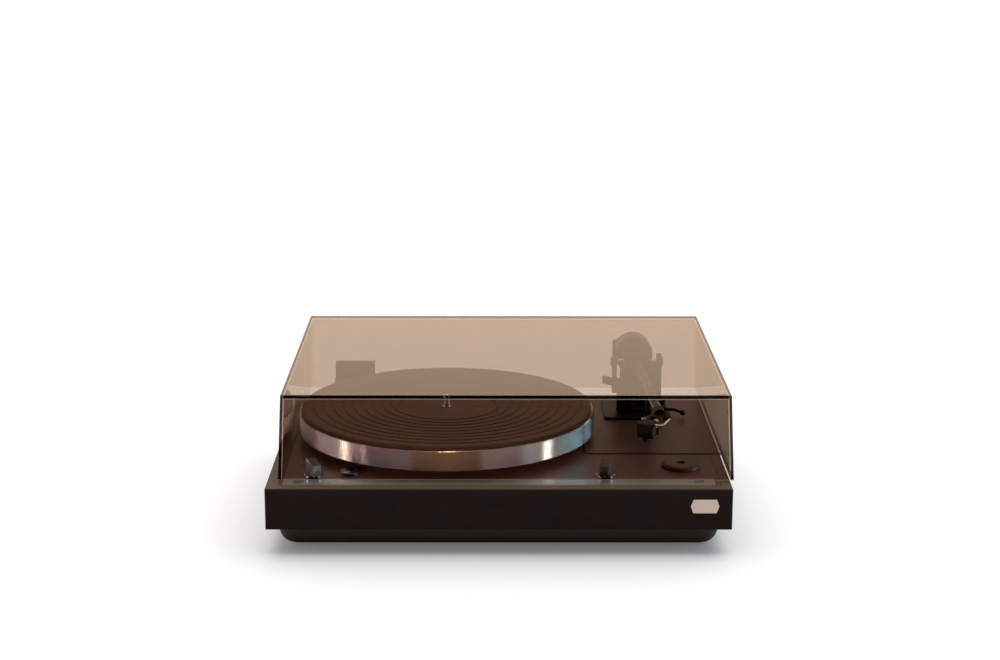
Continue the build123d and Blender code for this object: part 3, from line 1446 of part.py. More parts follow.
with BuildPart() as earth_post:
    with BuildSketch(rear_plane.offset(-4)):
        with Locations((socket_x - socket_spacing, socket_z)):
            Circle(1.6)
    extrude(amount=4 + socket_panel_thickness + 9)
    with BuildSketch(socket_centre.offset(1.0)):
        with Locations((socket_x - socket_spacing, socket_z)):
            Circle(4)
            with PolarLocations(4, 10):
                Circle(0.4, mode=Mode.SUBTRACT)
    extrude(amount=5)
    with BuildSketch(socket_centre):
        with Locations((socket_x - socket_spacing, socket_z)):
            Circle(3)
    extrude(amount=1)
earth_post.part.label = "earth_post"
export_step(earth_post.part, "parts/earth_post.step")

with BuildPart() as power_inlet:
    with BuildSketch(rear_plane.offset(-12)):
        with Locations((inlet_x, socket_z)):
            Circle(inlet_radius - 1)
    extrude(amount=12)
    with BuildSketch(rear_plane):
        with Locations((inlet_x, socket_z)):
            Circle(inlet_radius)
    extrude(amount=1.5)
    with BuildSketch(rear_plane.offset(1.5)):
        with Locations((inlet_x, socket_z)):
            Circle(inlet_bore)
    extrude(amount=-10.5, mode=Mode.SUBTRACT)
    with BuildSketch(rear_plane.offset(-9)):
        with Locations((inlet_x, socket_z)):
            Circle(1.05)
    extrude(amount=9)
power_inlet.part.label = "power_inlet"
export_step(power_inlet.part, "parts/power_inlet.step")

# Circuit board on four standoffs, with a transformer block, two capacitors and a chip
board_x = left_x + board_from_left
board_y = rear_y - board_from_rear
board_z = tub_floor + board_standoff
with BuildPart() as circuit_board:
    with BuildSketch(Plane.XY.offset(tub_floor)):
        with Locations((board_x, board_y)):
            with GridLocations(board_width - 2 * standoff_inset, board_depth - 2 * standoff_inset, 2, 2):
                Circle(standoff_radius)
    extrude(amount=board_standoff)
    with BuildSketch(Plane.XY.offset(board_z)):
        with Locations((board_x, board_y)):
            Rectangle(board_width, board_depth)
    extrude(amount=board_thickness)
    with BuildSketch(Plane.XY.offset(board_z + board_thickness)):
        with Locations((board_x - board_width * 0.25, board_y)):
            Rectangle(transformer_width, transformer_depth)
        with Locations((board_x + board_width * 0.1, board_y + board_depth * 0.25)):
            Circle(capacitor_radius)
        with Locations((board_x + board_width * 0.25, board_y + board_depth * 0.25)):
            Circle(capacitor_radius)
    extrude(amount=tall_part_height)
    with BuildSketch(Plane.XY.offset(board_z + board_thickness)):
        with Locations((board_x + board_width * 0.2, board_y - board_depth * 0.2)):
            Rectangle(chip_width, chip_depth)
    extrude(amount=chip_height)
circuit_board.part.label = "circuit_board"
export_step(circuit_board.part, "parts/circuit_board.step")
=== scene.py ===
import bpy
import bmesh
from math import cos, radians, sin
from mathutils import Matrix, Vector


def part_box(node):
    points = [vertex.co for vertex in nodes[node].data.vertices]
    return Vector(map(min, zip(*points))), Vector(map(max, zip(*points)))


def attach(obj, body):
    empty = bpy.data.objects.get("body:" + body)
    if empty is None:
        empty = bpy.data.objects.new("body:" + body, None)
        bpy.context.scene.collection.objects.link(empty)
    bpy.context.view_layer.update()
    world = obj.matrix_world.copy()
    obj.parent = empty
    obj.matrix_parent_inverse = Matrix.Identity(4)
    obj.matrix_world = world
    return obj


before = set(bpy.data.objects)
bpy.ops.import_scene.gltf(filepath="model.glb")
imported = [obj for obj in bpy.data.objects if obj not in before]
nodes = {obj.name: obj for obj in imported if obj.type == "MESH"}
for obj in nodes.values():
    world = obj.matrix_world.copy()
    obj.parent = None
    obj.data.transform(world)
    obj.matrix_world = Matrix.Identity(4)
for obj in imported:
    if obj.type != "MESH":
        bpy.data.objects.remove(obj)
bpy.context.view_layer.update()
print("frame loaded:", len(nodes), "nodes")


# camera
cameraSetup = {
    "eye": (-0.0108, -1.9185, 0.6439),   # metres
    "pitch": 0.2390,                     # looking down, radians
    "yaw": -0.0057,
    "roll": 0.0023,
    "focal": 1947.7,                     # in pixels of the picture
    "pictureWidth": 1000,
    "sensor": 36.0,                      # millimetres
    "farthest": 100,                     # metres
}


def makeCamera(setup):
    right = Vector((cos(setup["yaw"]), sin(setup["yaw"]), 0))
    ahead = Vector((-sin(setup["yaw"]), cos(setup["yaw"]), 0))
    look = ahead * cos(setup["pitch"]) - Vector((0, 0, 1)) * sin(setup["pitch"])
    up = ahead * sin(setup["pitch"]) + Vector((0, 0, 1)) * cos(setup["pitch"])
    side = right * cos(setup["roll"]) + up * sin(setup["roll"])
    top = up * cos(setup["roll"]) - right * sin(setup["roll"])
    data = bpy.data.cameras.new("camera")
    data.sensor_width = setup["sensor"]
    data.lens = setup["focal"] * setup["sensor"] / setup["pictureWidth"]
    data.clip_end = setup["farthest"]
    camera = bpy.data.objects.new("camera", data)
    camera.matrix_world = Matrix((side, top, -look)).transposed().to_4x4()
    camera.location = setup["eye"]
    bpy.context.collection.objects.link(camera)
    bpy.context.scene.camera = camera


makeCamera(cameraSetup)
bpy.context.scene.view_settings.view_transform = "Standard"
print("camera made")


# what every material is built with
def toLinear(hexColour):
    values = [int(hexColour[i:i + 2], 16) / 255 for i in (1, 3, 5)]
    linear = [v / 12.92 if v <= 0.04045 else ((v + 0.055) / 1.055) ** 2.4 for v in values]
    return (*linear, 1)


def newMaterial(name):
    material = bpy.data.materials.new(name)
    material.use_nodes = True
    tree = material.node_tree
    return material, tree, tree.nodes["Principled BSDF"]


def setInputs(tree, node, inputs):
    # an input is a plain value, a hex colour, a socket, or a node, which stands for its first output
    for key, value in inputs.items():
        if isinstance(value, bpy.types.Node):
            value = value.outputs[0]
        if isinstance(value, bpy.types.NodeSocket):
            tree.links.new(value, node.inputs[key])
        elif isinstance(value, str):
            node.inputs[key].default_value = toLinear(value)
        else:
            node.inputs[key].default_value = value


def addNode(tree, kind, *firstInputs, inputs=None, **fields):
    # the node's own fields come first, because they decide which inputs it has. A Mix node has its numbers
    # at inputs 2 and 3 and output 0, and its colours at inputs 6 and 7 and output 2.
    node = tree.nodes.new("ShaderNode" + kind)
    for field, value in fields.items():
        setattr(node, field, value)
    setInputs(tree, node, {**dict(enumerate(firstInputs)), **(inputs or {})})
    return node


# room, floor and lamps
studio = {
    "left": "#b4adb8",       # the room all round, as gloss and metal mirror it
    "right": "#a9c0cf",
    "front": "#3c332d",
    "behind": "#f8ecdd",     # the far wall, which the cover's top mirrors
    "overhead": "#b5aea6",
    # where each side takes over from the ones above it: axis of the direction, start and end
    "turns": {
        "right": (0, -0.7, 0.7),
        "front": (1, -0.3, -0.9),
        "behind": (1, 0.45, 0.85),
        "overhead": (2, 0.5, 0.9),
    },
    "worldLevel": 1.0,
    "floor": "#f1f2f4",
    "floorGlow": 0.14,       # keeps the paper white to the eye, with the shadow on it
    "floorCorners": ((-30, -30), (30, -30), (30, 60), (-30, 60)),   # metres
    "sunLevel": 2.1,
    "sunWidth": 70,          # degrees across, a broad soft box
    "sunTilt": (-12, 4, 0),  # degrees
    "aim": (0, 0, 0.1),      # where the lamps point, metres
    # lamps for chosen pieces alone: place, width and height in metres, watts, colour, which pieces
    "lamps": {
        "leftStrip": ((-3.0, -0.49, 0.3), (0.24, 0.5), 130.0, "#c9e2ff", "bright"),
        "rightStrip": ((2.85, -0.46, 0.3), (0.30, 0.5), 220.0, "#b5d8ff", "bright"),
        "leftScreen": ((-2.6, -0.1, 0.45), (2.6, 0.8), 250.0, "#b0bdf0", "broad"),
        "leftWash": ((-2.0, -2.2, 0.45), (1.8, 0.8), 30.0, "#7fa6ff", "broad"),
        "rightScreen": ((2.6, -0.5, 0.45), (2.0, 0.8), 160.0, "#90bcf0", "broad"),
        "rightWash": ((2.0, -2.2, 0.45), (1.8, 0.8), 45.0, "#9fc4ff", "broad"),
        "rightWindow": ((2.4, 1.4, 0.45), (2.4, 0.8), 400.0, "#72baf2", "broad"),
        "frontScreen": ((0.0, -3.0, 0.4), (2.0, 0.6), 2.0, "#e8a070", "broad"),
        "ceilingLamp": ((-0.02, -0.62, 2.2), (0.3, 0.12), 30.0, "#ffeccb", "rim"),
        "deckFill": ((-1.0, -2.9, 0.5), (2.0, 0.6), 340.0, "#fff2e2", "deck"),
    },
    "reach": {
        "rim": ["outer_platter", "spindle"],
        "deck": ["deck_plate"],
        "broad": ["outer_platter", "pulley"],
        "bright": [
            "outer_platter", "front_strip", "spindle", "arm_tube", "finger_lift", "cue_lever",
            "speed_knob", "start_knob", "trim_knob", "force_dial", "pivot_screws", "cartridge_screws",
            "gimbal_yoke", "lift_rail", "rest_clip", "pulley", "single_adaptor", "counterweight", "arm_rest",
        ],
    },
    "unmirrored": ["deck"],  # gloss doesn't show the lamps with these reaches
}


def makeRoom(setup):
    world = bpy.data.worlds.new("studio")
    bpy.context.scene.world = world
    world.use_nodes = True
    tree = world.node_tree
    tree.nodes.clear()
    toward = addNode(tree, "SeparateXYZ", addNode(tree, "TexCoord").outputs["Generated"]).outputs
    room = setup["left"]
    for side, (axis, start, end) in setup["turns"].items():
        share = addNode(tree, "MapRange", toward[axis], start, end)
        room = addNode(tree, "Mix", share, inputs={6: room, 7: setup[side]}, data_type="RGBA").outputs[2]
    addNode(tree, "OutputWorld", addNode(tree, "Background", room, setup["worldLevel"]))


def makeFloor(setup):
    corners = [(x, y, 0) for x, y in setup["floorCorners"]]
    mesh = bpy.data.meshes.new("floor")
    mesh.from_pydata(corners, [], [range(len(corners))])
    floor = bpy.data.objects.new("floor", mesh)
    bpy.context.collection.objects.link(floor)
    paper, tree, shader = newMaterial("backgroundPaper")
    seen = addNode(tree, "LightPath").outputs["Is Camera Ray"]
    setInputs(tree, shader, {
        "Base Color": setup["floor"],
        "Roughness": 1.0,
        "Specular IOR Level": 0.0,
        "Emission Color": "#ffffff",
        "Emission Strength": addNode(tree, "Math", seen, setup["floorGlow"], operation="MULTIPLY"),
    })
    mesh.materials.append(paper)


def makeLamps(setup):
    sun = bpy.data.lights.new("softBox", "SUN")
    sun.energy = setup["sunLevel"]
    sun.angle = radians(setup["sunWidth"])
    lamp = bpy.data.objects.new("softBox", sun)
    lamp.rotation_euler = [radians(v) for v in setup["sunTilt"]]
    bpy.context.collection.objects.link(lamp)

    reach = {}
    for kind, names in setup["reach"].items():
        reach[kind] = bpy.data.collections.new(kind)
        for name in names:
            reach[kind].objects.link(nodes[name])
    for name, (where, size, power, colour, kind) in setup["lamps"].items():
        data = bpy.data.lights.new(name, "AREA")
        data.shape = "RECTANGLE"
        data.size, data.size_y = size
        data.energy = power
        data.color = toLinear(colour)[:3]
        lamp = bpy.data.objects.new(name, data)
        lamp.location = where
        lamp.rotation_euler = (Vector(setup["aim"]) - lamp.location).to_track_quat("-Z", "Y").to_euler()
        lamp.light_linking.receiver_collection = reach[kind]
        lamp.visible_glossy = kind not in setup["unmirrored"]
        bpy.context.collection.objects.link(lamp)


makeRoom(studio)
makeFloor(studio)
makeLamps(studio)
print("room, floor and", len(studio["lamps"]) + 1, "lamps made")


# wood, plastic, rubber, paint and plain metal. Grain and depth are the size and height of the texture in
# millimetres. Most textures are too fine in life to show, so they are drawn coarser. The enamel's orange
# peel has its real size.
satinFinishes = {
    # stained oak veneer under satin lacquer: near black, long pores along the front, the tops drawn paler
    "stainedVeneer": {
        "on": ["plinth"],
        "colours": ("#1a110e", "#261a15"), "roughness": 0.5, "specular": 0.07,
        "grain": 0.9, "depth": 0.02, "stretch": (0.04, 1, 1), "dust": "#5f4f44",
    },
    # satin lacquer on board: an even dark brown sheen
    "lacqueredBoard": {
        "on": ["deck_plate"],
        "colours": ("#3a2420", "#432b25"), "roughness": 0.42, "vary": 0.02, "specular": 0.25,
        "grain": 1.6, "depth": 0.002, "stretch": (0.1, 1, 1),
    },
    # satin lacquer on veneer: brown with fine level grain, and a painted highlight along the right edge
    "lacqueredVeneer": {
        "on": ["armboard"],
        "colours": ("#3a251e", "#4e362d"), "roughness": 0.40, "vary": 0.02, "specular": 0.2,
        "grain": 1.6, "depth": 0.008, "stretch": (0.03, 1, 1), "paintedEdgeHighlight": "#e3bd9d", "paintedEdgeWidth": 1.6,
    },
    # brushed and anodised aluminium: grey bronze, with lines along its length
    "brushedAluminium": {
        "on": ["front_strip"],
        "colours": ("#685f54", "#776d61"), "roughness": 0.34, "specular": 0.4, "metallic": 0.3,
        "grain": 0.5, "depth": 0.004, "stretch": (0.02, 1, 1),
    },
    # moulded ABS with a fine spark texture: dull, dark brown
    "mouldedAbs": {
        "on": ["base_tub"],
        "colours": ("#261b16", "#33251e"), "roughness": 0.45, "specular": 0.2,
        "grain": 0.7, "depth": 0.03,
    },
    # moulded nylon: dull, dark brown, with a little more shine than the tub
    "mouldedNylon": {
        "on": ["hinge_base_left", "hinge_base_right", "hinge_clamp_left", "hinge_clamp_right"],
        "colours": ("#2a201b", "#352923"), "roughness": 0.45, "specular": 0.4,
        "grain": 0.7, "depth": 0.02,
    },
    # cast rubber: dead matt, slightly chalky
    "castRubber": {
        "on": ["feet", "motor_isolators"],
        "colours": ("#141312", "#1d1b1a"), "roughness": 0.8, "specular": 0.3,
        "grain": 1.5, "depth": 0.03,
    },
    # moulded rubber: dull brown that hardly shines
    "mouldedRubber": {
        "on": ["platter_mat"],
        "colours": ("#61483d", "#6c5245"), "roughness": 0.75, "specular": 0.1,
        "grain": 3.0, "depth": 0.01,
    },
    # soft clear vinyl, drawn opaque: a paler tone of the strip that would show through it, lifted further to
    # paint out the cover's shadow on them
    "clearVinyl": {
        "on": ["cover_pads"],
        "colours": ("#a89a88", "#b5a795"), "roughness": 0.4, "specular": 0.4,
        "grain": 1.0, "depth": 0.004,
    },
    # ground rubber: black with a satin sheen
    "groundRubber": {
        "on": ["drive_belt"],
        "colours": ("#121110", "#191817"), "roughness": 0.55, "specular": 0.4,
        "grain": 1.0, "depth": 0.01,
    },
    # zinc-plated steel: bright, slightly grey
    "platedSteel": {
        "on": [
            "tub_screws", "hinge_screws", "bearing_screws", "motor_screws", "motor_plate", "arm_nut",
            "pivot_screws", "cartridge_screws",
        ],
        "colours": ("#b4b0a8", "#cfcbc4"), "roughness": 0.26, "metallic": 1.0,
        "grain": 1.2, "depth": 0.004,
    },
    # ground steel: pale and bright, with soft highlights
    "groundSteel": {
        "on": ["spindle", "thrust_ball", "motor_shaft", "finger_lift"],
        "colours": ("#dedbd6", "#eeece8"), "roughness": 0.22, "vary": 0.03, "metallic": 1.0,
        "grain": 0.8, "depth": 0.002,
    },
    # turned brass: warm yellow, with softer highlights than the steel
    "turnedBrass": {
        "on": ["bearing_housing"],
        "colours": ("#a8843f", "#c39f58"), "roughness": 0.3, "metallic": 1.0,
        "grain": 0.8, "depth": 0.004,
    },
    # gold plate on brass: a brighter yellow than the bare brass
    "goldPlate": {
        "on": ["phono_sockets", "earth_post"],
        "colours": ("#c79f4b", "#dcb866"), "roughness": 0.2, "vary": 0.04, "metallic": 1.0,
        "grain": 1.0, "depth": 0.002,
    },
    # stove enamel on die-cast metal: satin black with a soft orange peel
    "stoveEnamel": {
        "on": [
            "arm_base", "gimbal_yoke", "pivot_block", "headshell", "arm_rest", "rest_clip", "lift_cylinder",
            "lift_rail", "cue_lever", "side_force_dial",
        ],
        "colours": ("#130c0a", "#1a120f"), "roughness": 0.4, "specular": 0.12,
        "grain": 2.2, "depth": 0.006,
    },
    # satin anodised aluminium: dark metal with soft highlights
    "satinAnodised": {
        "on": ["arm_pillar", "arm_tube", "force_dial"],
        "colours": ("#2c2724", "#37312d"), "roughness": 0.26, "vary": 0.04, "metallic": 1.0,
        "grain": 1.0, "depth": 0.003,
    },
    # black anodised aluminium: the dye hides the metal's own colour, so it shines like paint
    "blackAnodised": {
        "on": ["counterweight"],
        "colours": ("#1b1714", "#26211d"), "roughness": 0.32,
        "grain": 0.8, "depth": 0.006,
    },
    # moulded phenolic: satin dark brown, close to the deck around it
    "mouldedPhenolic": {
        "on": ["single_adaptor"],
        "colours": ("#35201a", "#3e2721"), "roughness": 0.4, "specular": 0.2,
        "grain": 2.0, "depth": 0.002,
    },
    # anodised aluminium: dark, with a painted highlight on the faces that look sideways
    "sideHighlightAnodised": {
        "on": ["speed_knob", "start_knob", "trim_knob"],
        "colours": ("#362c27", "#433831"), "roughness": 0.26, "vary": 0.03, "metallic": 1.0,
        "grain": 0.6, "depth": 0.002, "paintedSideHighlight": "#cdd6e4",
    },
    # moulded polystyrene: near black, smooth, with a weak shine
    "mouldedPolystyrene": {
        "on": ["cartridge", "stylus"],
        "colours": ("#120c0a", "#18110e"), "roughness": 0.3, "specular": 0.12,
        "grain": 1.4, "depth": 0.004,
    },
    # moulded polycarbonate: grey-black and dull
    "mouldedPolycarbonate": {
        "on": ["switch_bodies", "trim_control", "power_inlet", "socket_panel"],
        "colours": ("#1a1918", "#232221"), "roughness": 0.5, "specular": 0.4,
        "grain": 1.0, "depth": 0.02,
    },
    # pressed and plated steel: plain grey metal
    "pressedSteel": {
        "on": ["motor"],
        "colours": ("#8a8883", "#9c9a95"), "roughness": 0.38, "metallic": 1.0,
        "grain": 1.5, "depth": 0.006,
    },
    # solder mask on glass fibre: deep satin green
    "solderMask": {
        "on": ["circuit_board"],
        "colours": ("#1d4a2a", "#2a5c37"), "roughness": 0.4,
        "grain": 1.2, "depth": 0.01,
    },
}
# what a finish above has unless it says otherwise
satinUsual = {
    "specular": 0.5, "metallic": 0.0, "stretch": (1, 1, 1),
    "vary": 0.06,             # roughness goes up and down by this
    "fineDetail": 3.0,        # octaves of noise
    "slowDetail": 2.0,
    "slowSize": 40,           # size of the slow drift of colour, in grains
    "noiseRoughness": 0.55,
    "drift": (0.7, 1.3),      # sums of both noises that give the first and the last colour
    "dustOn": (0.6, 0.95),    # how far a face looks up where the paler top starts, and where it covers
    "paintedEdgeOn": (0.3, 0.5),     # the same for the painted edge highlight
    "paintedEdgeBlur": 0.2,          # millimetres
    "paintedSideHighlightOn": (0.35, 0.6),  # how far a face looks sideways where the painted highlight starts, and where it covers
}


def satinFinish(name, given):
    # colour and gloss drift a little with the grain, and the grain stands up by depth
    setup = {**satinUsual, **given}
    material, tree, shader = newMaterial(name)
    coords = addNode(tree, "TexCoord").outputs
    normal = addNode(tree, "SeparateXYZ", coords["Normal"]).outputs

    def grainNoise(size, stretch, detail):
        # size in millimetres is one cell of the pattern
        at = addNode(tree, "Mapping", coords["Object"], inputs={"Scale": stretch})
        noise = {"Scale": 1000 / size, "Detail": detail, "Roughness": setup["noiseRoughness"]}
        return addNode(tree, "TexNoise", at, inputs=noise)

    fine = grainNoise(setup["grain"], setup["stretch"], setup["fineDetail"])
    slow = grainNoise(setup["grain"] * setup["slowSize"], (1, 1, 1), setup["slowDetail"])
    both = addNode(tree, "Math", fine, slow, operation="ADD")

    # each layer is the share that it covers and its colour
    colour, last = setup["colours"]
    layers = [(addNode(tree, "MapRange", both, *setup["drift"]), last)]
    # faces that look up are drawn in a paler colour
    if "dust" in setup:
        layers.append((addNode(tree, "MapRange", normal[2], *setup["dustOn"]), setup["dust"]))
    # painted highlight: a pale strip along the right edge of the upward faces stands in for light caught by
    # that edge
    if "paintedEdgeHighlight" in setup:
        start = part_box(setup["on"][0])[1].x - setup["paintedEdgeWidth"] / 1000
        across = addNode(tree, "SeparateXYZ", coords["Object"])
        near = addNode(tree, "MapRange", across, start, start + setup["paintedEdgeBlur"] / 1000)
        level = addNode(tree, "MapRange", normal[2], *setup["paintedEdgeOn"])
        layers.append((addNode(tree, "Math", near, level, operation="MULTIPLY"), setup["paintedEdgeHighlight"]))
    # painted highlight: faces that look left or right are drawn pale blue-grey
    if "paintedSideHighlight" in setup:
        sideways = addNode(tree, "Math", normal[0], operation="ABSOLUTE")
        layers.append((addNode(tree, "MapRange", sideways, *setup["paintedSideHighlightOn"]), setup["paintedSideHighlight"]))
    for share, over in layers:
        colour = addNode(tree, "Mix", share, inputs={6: colour, 7: over}, data_type="RGBA").outputs[2]

    least, most = setup["roughness"] - setup["vary"], setup["roughness"] + setup["vary"]
    relief = {"Distance": setup["depth"] / 1000, "Height": fine, "Strength": 1.0}
    setInputs(tree, shader, {
        "Base Color": colour,
        "Roughness": addNode(tree, "MapRange", both, *setup["drift"], least, most),
        "Specular IOR Level": setup["specular"],
        "Metallic": setup["metallic"],
        "Normal": addNode(tree, "Bump", inputs=relief),
    })
    return material


# turned on a lathe: fine rings about an axle, which draw a lamp out into an upright streak. Pitch is from
# ring to ring in millimetres, coarser than in life, where the rings are too fine to show.
turnedFinishes = {
    # turned aluminium: brown-grey, with bright upright streaks
    "turnedRim": {
        "on": ["outer_platter"], "around": "spindle",
        "colours": ("#84705f", "#917d6b"), "roughness": 0.26, "pitch": 1.2, "anisotropy": 1.0,
    },
    # turned aluminium with a plainer finish: paler, with softer streaks
    "turnedHub": {
        "on": ["inner_platter"], "around": "spindle",
        "colours": ("#9d9994", "#b9b5b0"), "roughness": 0.3, "pitch": 1.2, "anisotropy": 0.5,
    },
    # turned aluminium on a small piece: pale and bright, with closer rings
    "turnedPulley": {
        "on": ["pulley"], "around": "motor_shaft",
        "colours": ("#9d9994", "#c0bcb6"), "roughness": 0.25, "pitch": 0.4, "anisotropy": 0.5,
    },
}
turnedUsual = {
    "turn": 0.25,           # a quarter turn sets the streaks upright
    "detail": 2.0,          # octaves of noise
    "vary": 0.01,           # roughness goes up and down by this
    "varyOn": (0.3, 0.7),   # the noise that gives the least and the most roughness
    "depth": 0.0006,        # millimetres
}


def turnedFinish(name, given):
    setup = {**turnedUsual, **given}
    material, tree, shader = newMaterial(name)
    coords = addNode(tree, "TexCoord").outputs
    low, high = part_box(setup["around"])
    local = addNode(tree, "VectorMath", coords["Object"], (low + high) / 2, operation="SUBTRACT")
    split = addNode(tree, "SeparateXYZ", local).outputs
    flat = addNode(tree, "CombineXYZ", split[0], split[1])
    radius = addNode(tree, "VectorMath", flat, operation="LENGTH").outputs["Value"]
    up = addNode(tree, "SeparateXYZ", coords["Normal"]).outputs[2]
    level = addNode(tree, "Math", up, up, operation="MULTIPLY")
    # rings by radius on level faces and by height on upright ones
    rings = addNode(tree, "CombineXYZ", addNode(tree, "Mix", level, inputs={2: split[2], 3: radius}))
    noise = {"Scale": 1000 / setup["pitch"], "Detail": setup["detail"]}
    lines = addNode(tree, "TexNoise", rings, inputs=noise)

    first, last = setup["colours"]
    least, most = setup["roughness"] - setup["vary"], setup["roughness"] + setup["vary"]
    relief = {"Distance": setup["depth"] / 1000, "Height": lines, "Strength": 1.0}
    setInputs(tree, shader, {
        "Base Color": addNode(tree, "Mix", lines, inputs={6: first, 7: last}, data_type="RGBA").outputs[2],
        "Roughness": addNode(tree, "MapRange", lines, *setup["varyOn"], least, most),
        "Metallic": 1.0,
        "Anisotropic": setup["anisotropy"],
        "Anisotropic Rotation": setup["turn"],
        "Tangent": addNode(tree, "Tangent", direction_type="RADIAL", axis="Z"),
        "Normal": addNode(tree, "Bump", inputs=relief),
    })
    return material


# smoke-brown cast acrylic with polished joints: clear both ways, a strong mirror at a low angle, and at each
# joint of two walls a dark line with a painted highlight line inside it
coverSetup = {
    "on": "dust_cover",
    "tint": (0.48, 0.435, 0.39),     # what one wall lets through, red, green, blue
    "endTint": (0.76, 0.66, 0.60),   # the front and rear walls, which let more through
    "edge": (0.004, 0.003, 0.002),   # the same where the eye looks along a joint
    "facePower": 0.5,                # one face takes half of a wall's tint
    "slantPower": 0.68,              # more of it at a low angle, where the way through is longer
    "edgeWidth": 2.9,                # millimetres
    "edgeBlur": 0.1,                 # share of the edge's width
    "lean": 3.75 / 82.1,             # the walls lean in by this for each unit of height
    "skin": (0.8, 1.2),              # millimetres in from the outside, where the outer face ends
    "wall": (3.5, 4.5),              # the same for a whole wall
    "foot": (0.6, 0.9),              # millimetres up the lower rim, dark at the sides and a painted highlight line in front
    "paintedGlint": "#c8ae98",              # painted highlight: the pale line inside each joint, drawn as a diffuse colour
    "paintedGlintWidth": 0.8,               # millimetres
    "paintedGlintStrength": 0.55,
    "mirror": (1.0, 0.80, 0.66),     # both faces of a wall mirror, the inner one through the tint
    "innerMirror": (1.0, 0.92, 0.85),
    "gloss": 1.47,
    "polish": 0.02,                  # roughness of the mirror
    "ior": 1.49,
    "faceOn": 0.045,                 # a mirror this weak, seen straight on, is left out
}


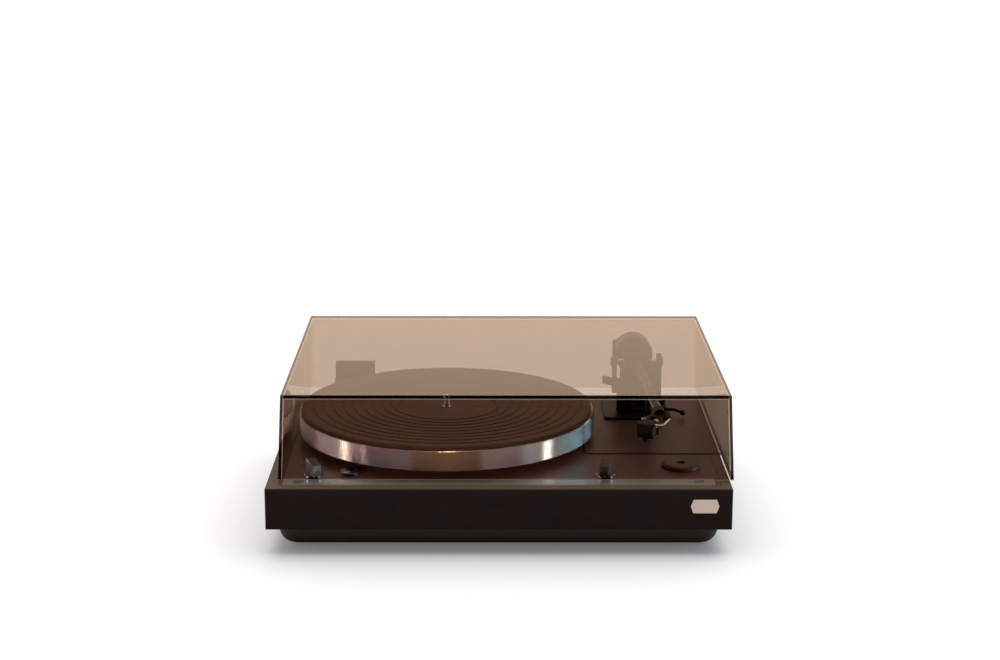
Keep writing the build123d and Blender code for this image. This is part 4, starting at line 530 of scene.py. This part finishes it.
def tintedAcrylic(setup):
    material = bpy.data.materials.new("tintedAcrylic")
    material.use_nodes = True
    tree = material.node_tree
    tree.nodes.clear()

    # metres in from the faces outside, which all but the top lean in as they rise
    low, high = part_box(setup["on"])
    x, y, z = addNode(tree, "SeparateXYZ", addNode(tree, "TexCoord").outputs["Object"]).outputs
    rise = addNode(tree, "Math", z, low.z, operation="SUBTRACT")
    inward = addNode(tree, "Math", rise, setup["lean"], operation="MULTIPLY")
    offCentre = addNode(tree, "Math", x, (low.x + high.x) / 2, operation="SUBTRACT")
    offCentre = addNode(tree, "Math", offCentre, operation="ABSOLUTE")
    outward = addNode(tree, "Math", offCentre, inward, operation="ADD")
    frontFace = addNode(tree, "Math", inward, low.y, operation="ADD")
    backward = addNode(tree, "Math", y, inward, operation="ADD")
    fromTop = addNode(tree, "Math", high.z, z, operation="SUBTRACT")
    fromSide = addNode(tree, "Math", (high.x - low.x) / 2, outward, operation="SUBTRACT")
    fromFront = addNode(tree, "Math", y, frontFace, operation="SUBTRACT")
    fromRear = addNode(tree, "Math", high.y, backward, operation="SUBTRACT")

    # the nearest face and the nearest joint
    nearest = fromTop
    for other in (fromSide, fromFront, fromRear):
        nearest = addNode(tree, "Math", nearest, other, operation="MINIMUM")
    joint = addNode(tree, "Math", fromTop, fromSide, operation="MAXIMUM")
    for pair in ((fromTop, fromFront), (fromSide, fromFront), (fromTop, fromRear)):
        other = addNode(tree, "Math", *pair, operation="MAXIMUM")
        joint = addNode(tree, "Math", joint, other, operation="MINIMUM")

    # masks, from the distance where each is whole to the one where it has gone
    skin, wall, foot = [[v / 1000 for v in setup[key]] for key in ("skin", "wall", "foot")]
    width, lit = setup["edgeWidth"] / 1000, setup["paintedGlintWidth"] / 1000
    inner, outer = width * (1 - setup["edgeBlur"]), width * (1 + setup["edgeBlur"])
    toEnd = addNode(tree, "Math", fromFront, fromRear, operation="MINIMUM")
    outside = addNode(tree, "MapRange", nearest, *skin, 1.0, 0.0)
    inFront = addNode(tree, "MapRange", fromFront, *skin, 1.0, 0.0)
    atEnds = addNode(tree, "MapRange", toEnd, *wall, 1.0, 0.0)
    atFoot = addNode(tree, "MapRange", rise, *foot, 1.0, 0.0)
    atJoint = addNode(tree, "MapRange", joint, inner, outer, 1.0, 0.0)
    atSides = addNode(tree, "Math", 1.0, atEnds, operation="SUBTRACT")
    darkJoint = addNode(tree, "Math", atJoint, outside, operation="MULTIPLY")
    darkFoot = addNode(tree, "Math", atFoot, atSides, operation="MULTIPLY")
    dark = addNode(tree, "Math", darkJoint, darkFoot, operation="MAXIMUM")
    # painted highlight: a pale line just inside each joint and along the lower rim, on the front wall only
    paintedGlint = addNode(tree, "Math", joint, outer + lit / 2, lit / 2, operation="COMPARE")
    paintedGlint = addNode(tree, "Math", paintedGlint, atFoot, operation="MAXIMUM")
    paintedGlint = addNode(tree, "Math", paintedGlint, inFront, operation="MULTIPLY")

    # what each face lets through
    half = setup["facePower"]
    powers = (("tint", half), ("tint", setup["slantPower"]), ("endTint", half), ("edge", half))
    face, slanted, ends, deep = [(*[v ** power for v in setup[key]], 1) for key, power in powers]
    facing = addNode(tree, "LayerWeight").outputs["Facing"]
    slant = addNode(tree, "Math", facing, facing, operation="MULTIPLY")
    through = face
    for share, over in ((slant, slanted), (atEnds, ends), (dark, deep)):
        through = addNode(tree, "Mix", share, inputs={6: through, 7: over}, data_type="RGBA").outputs[2]
    clear = addNode(tree, "BsdfTransparent", through)

    # what each face mirrors
    sheens = {6: (*setup["innerMirror"], 1), 7: (*setup["mirror"], 1)}
    sheen = addNode(tree, "Mix", outside, inputs=sheens, data_type="RGBA").outputs[2]
    mirror = addNode(tree, "BsdfGlossy", inputs={"Color": sheen, "Roughness": setup["polish"]})
    fresnel = addNode(tree, "Fresnel", setup["ior"])
    strength = addNode(tree, "Math", fresnel, setup["faceOn"], operation="SUBTRACT")
    strength = addNode(tree, "Math", strength, 0.0, operation="MAXIMUM")
    strength = addNode(tree, "Math", strength, setup["gloss"], operation="MULTIPLY")
    fromWithin = addNode(tree, "NewGeometry").outputs["Backfacing"]
    fromOutside = addNode(tree, "Math", 1.0, fromWithin, operation="SUBTRACT")
    # no bounce off another surface sees a mirror, which would only speckle the deck
    path = addNode(tree, "LightPath").outputs
    bounced = addNode(tree, "Math", path["Is Diffuse Ray"], path["Is Glossy Ray"], operation="MAXIMUM")
    direct = addNode(tree, "Math", 1.0, bounced, operation="SUBTRACT")
    shown = addNode(tree, "Math", fromOutside, direct, operation="MULTIPLY")
    strength = addNode(tree, "Math", strength, shown, operation="MULTIPLY")
    strength = addNode(tree, "Math", strength, 1.0, operation="MINIMUM")
    sheet = addNode(tree, "MixShader", strength, clear, mirror)

    # the painted highlight line is a plain diffuse colour mixed over the sheet
    line = addNode(tree, "BsdfDiffuse", setup["paintedGlint"])
    paintedGlintShare = addNode(tree, "Math", paintedGlint, setup["paintedGlintStrength"], operation="MULTIPLY")
    addNode(tree, "OutputMaterial", addNode(tree, "MixShader", paintedGlintShare, sheet, line))
    return material


def give(names, material):
    for name in names:
        mesh = nodes[name].data
        mesh.materials.clear()
        mesh.materials.append(material)


for name, given in satinFinishes.items():
    give(given["on"], satinFinish(name, given))
for name, given in turnedFinishes.items():
    give(given["on"], turnedFinish(name, given))
give([coverSetup["on"]], tintedAcrylic(coverSetup))
print("materials given:", len(satinFinishes) + len(turnedFinishes) + 1)


# paper ticket with pointed ends, stuck to the plinth's front
ticket = {
    "left": 0.1790, "right": 0.2058, "bottom": 0.0429, "top": 0.0562,   # metres
    "point": 0.0024,
    "thickness": 0.00015,
    "lift": 0.00012,         # how far the ends have come away
    "curl": 3,               # a higher power keeps the lift closer to the ends
}
# uncoated paper: chalky cream, a little uneven from handling
uncoatedPaper = {
    "colours": ("#ecd2bf", "#f3dccb"), "roughness": 0.85, "specular": 0.1,
    "grain": 0.8, "depth": 0.01,
}


def makeTicket(setup, material):
    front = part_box("plinth")[0].y
    left, right, bottom, top = [setup[key] for key in ("left", "right", "bottom", "top")]
    point = setup["point"]
    middleX, middleZ, half = (left + right) / 2, (bottom + top) / 2, (right - left) / 2
    outline = [
        (right - point, bottom), (right, middleZ), (right - point, top),
        (left + point, top), (left, middleZ), (left + point, bottom),
    ]
    mesh = bmesh.new()
    sheets = []
    for depth in (setup["thickness"], 0.0):
        sheet = []
        for x, z in outline:
            lifted = setup["lift"] * abs((x - middleX) / half) ** setup["curl"]
            sheet.append(mesh.verts.new((x, front - depth - lifted, z)))
        centre = mesh.verts.new((middleX, front - depth, middleZ))
        for i, vert in enumerate(sheet):
            mesh.faces.new((vert, sheet[(i + 1) % len(sheet)], centre))
        sheets.append(sheet)
    for i in range(len(outline)):
        after = (i + 1) % len(outline)
        mesh.faces.new((sheets[0][i], sheets[0][after], sheets[1][after], sheets[1][i]))
    bmesh.ops.recalc_face_normals(mesh, faces=mesh.faces)
    data = bpy.data.meshes.new("paperLabel")
    mesh.to_mesh(data)
    mesh.free()
    data.materials.append(material)
    piece = bpy.data.objects.new("paperLabel", data)
    bpy.context.collection.objects.link(piece)
    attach(piece, "base")


makeTicket(ticket, satinFinish("uncoatedPaper", uncoatedPaper))
print("ticket made")
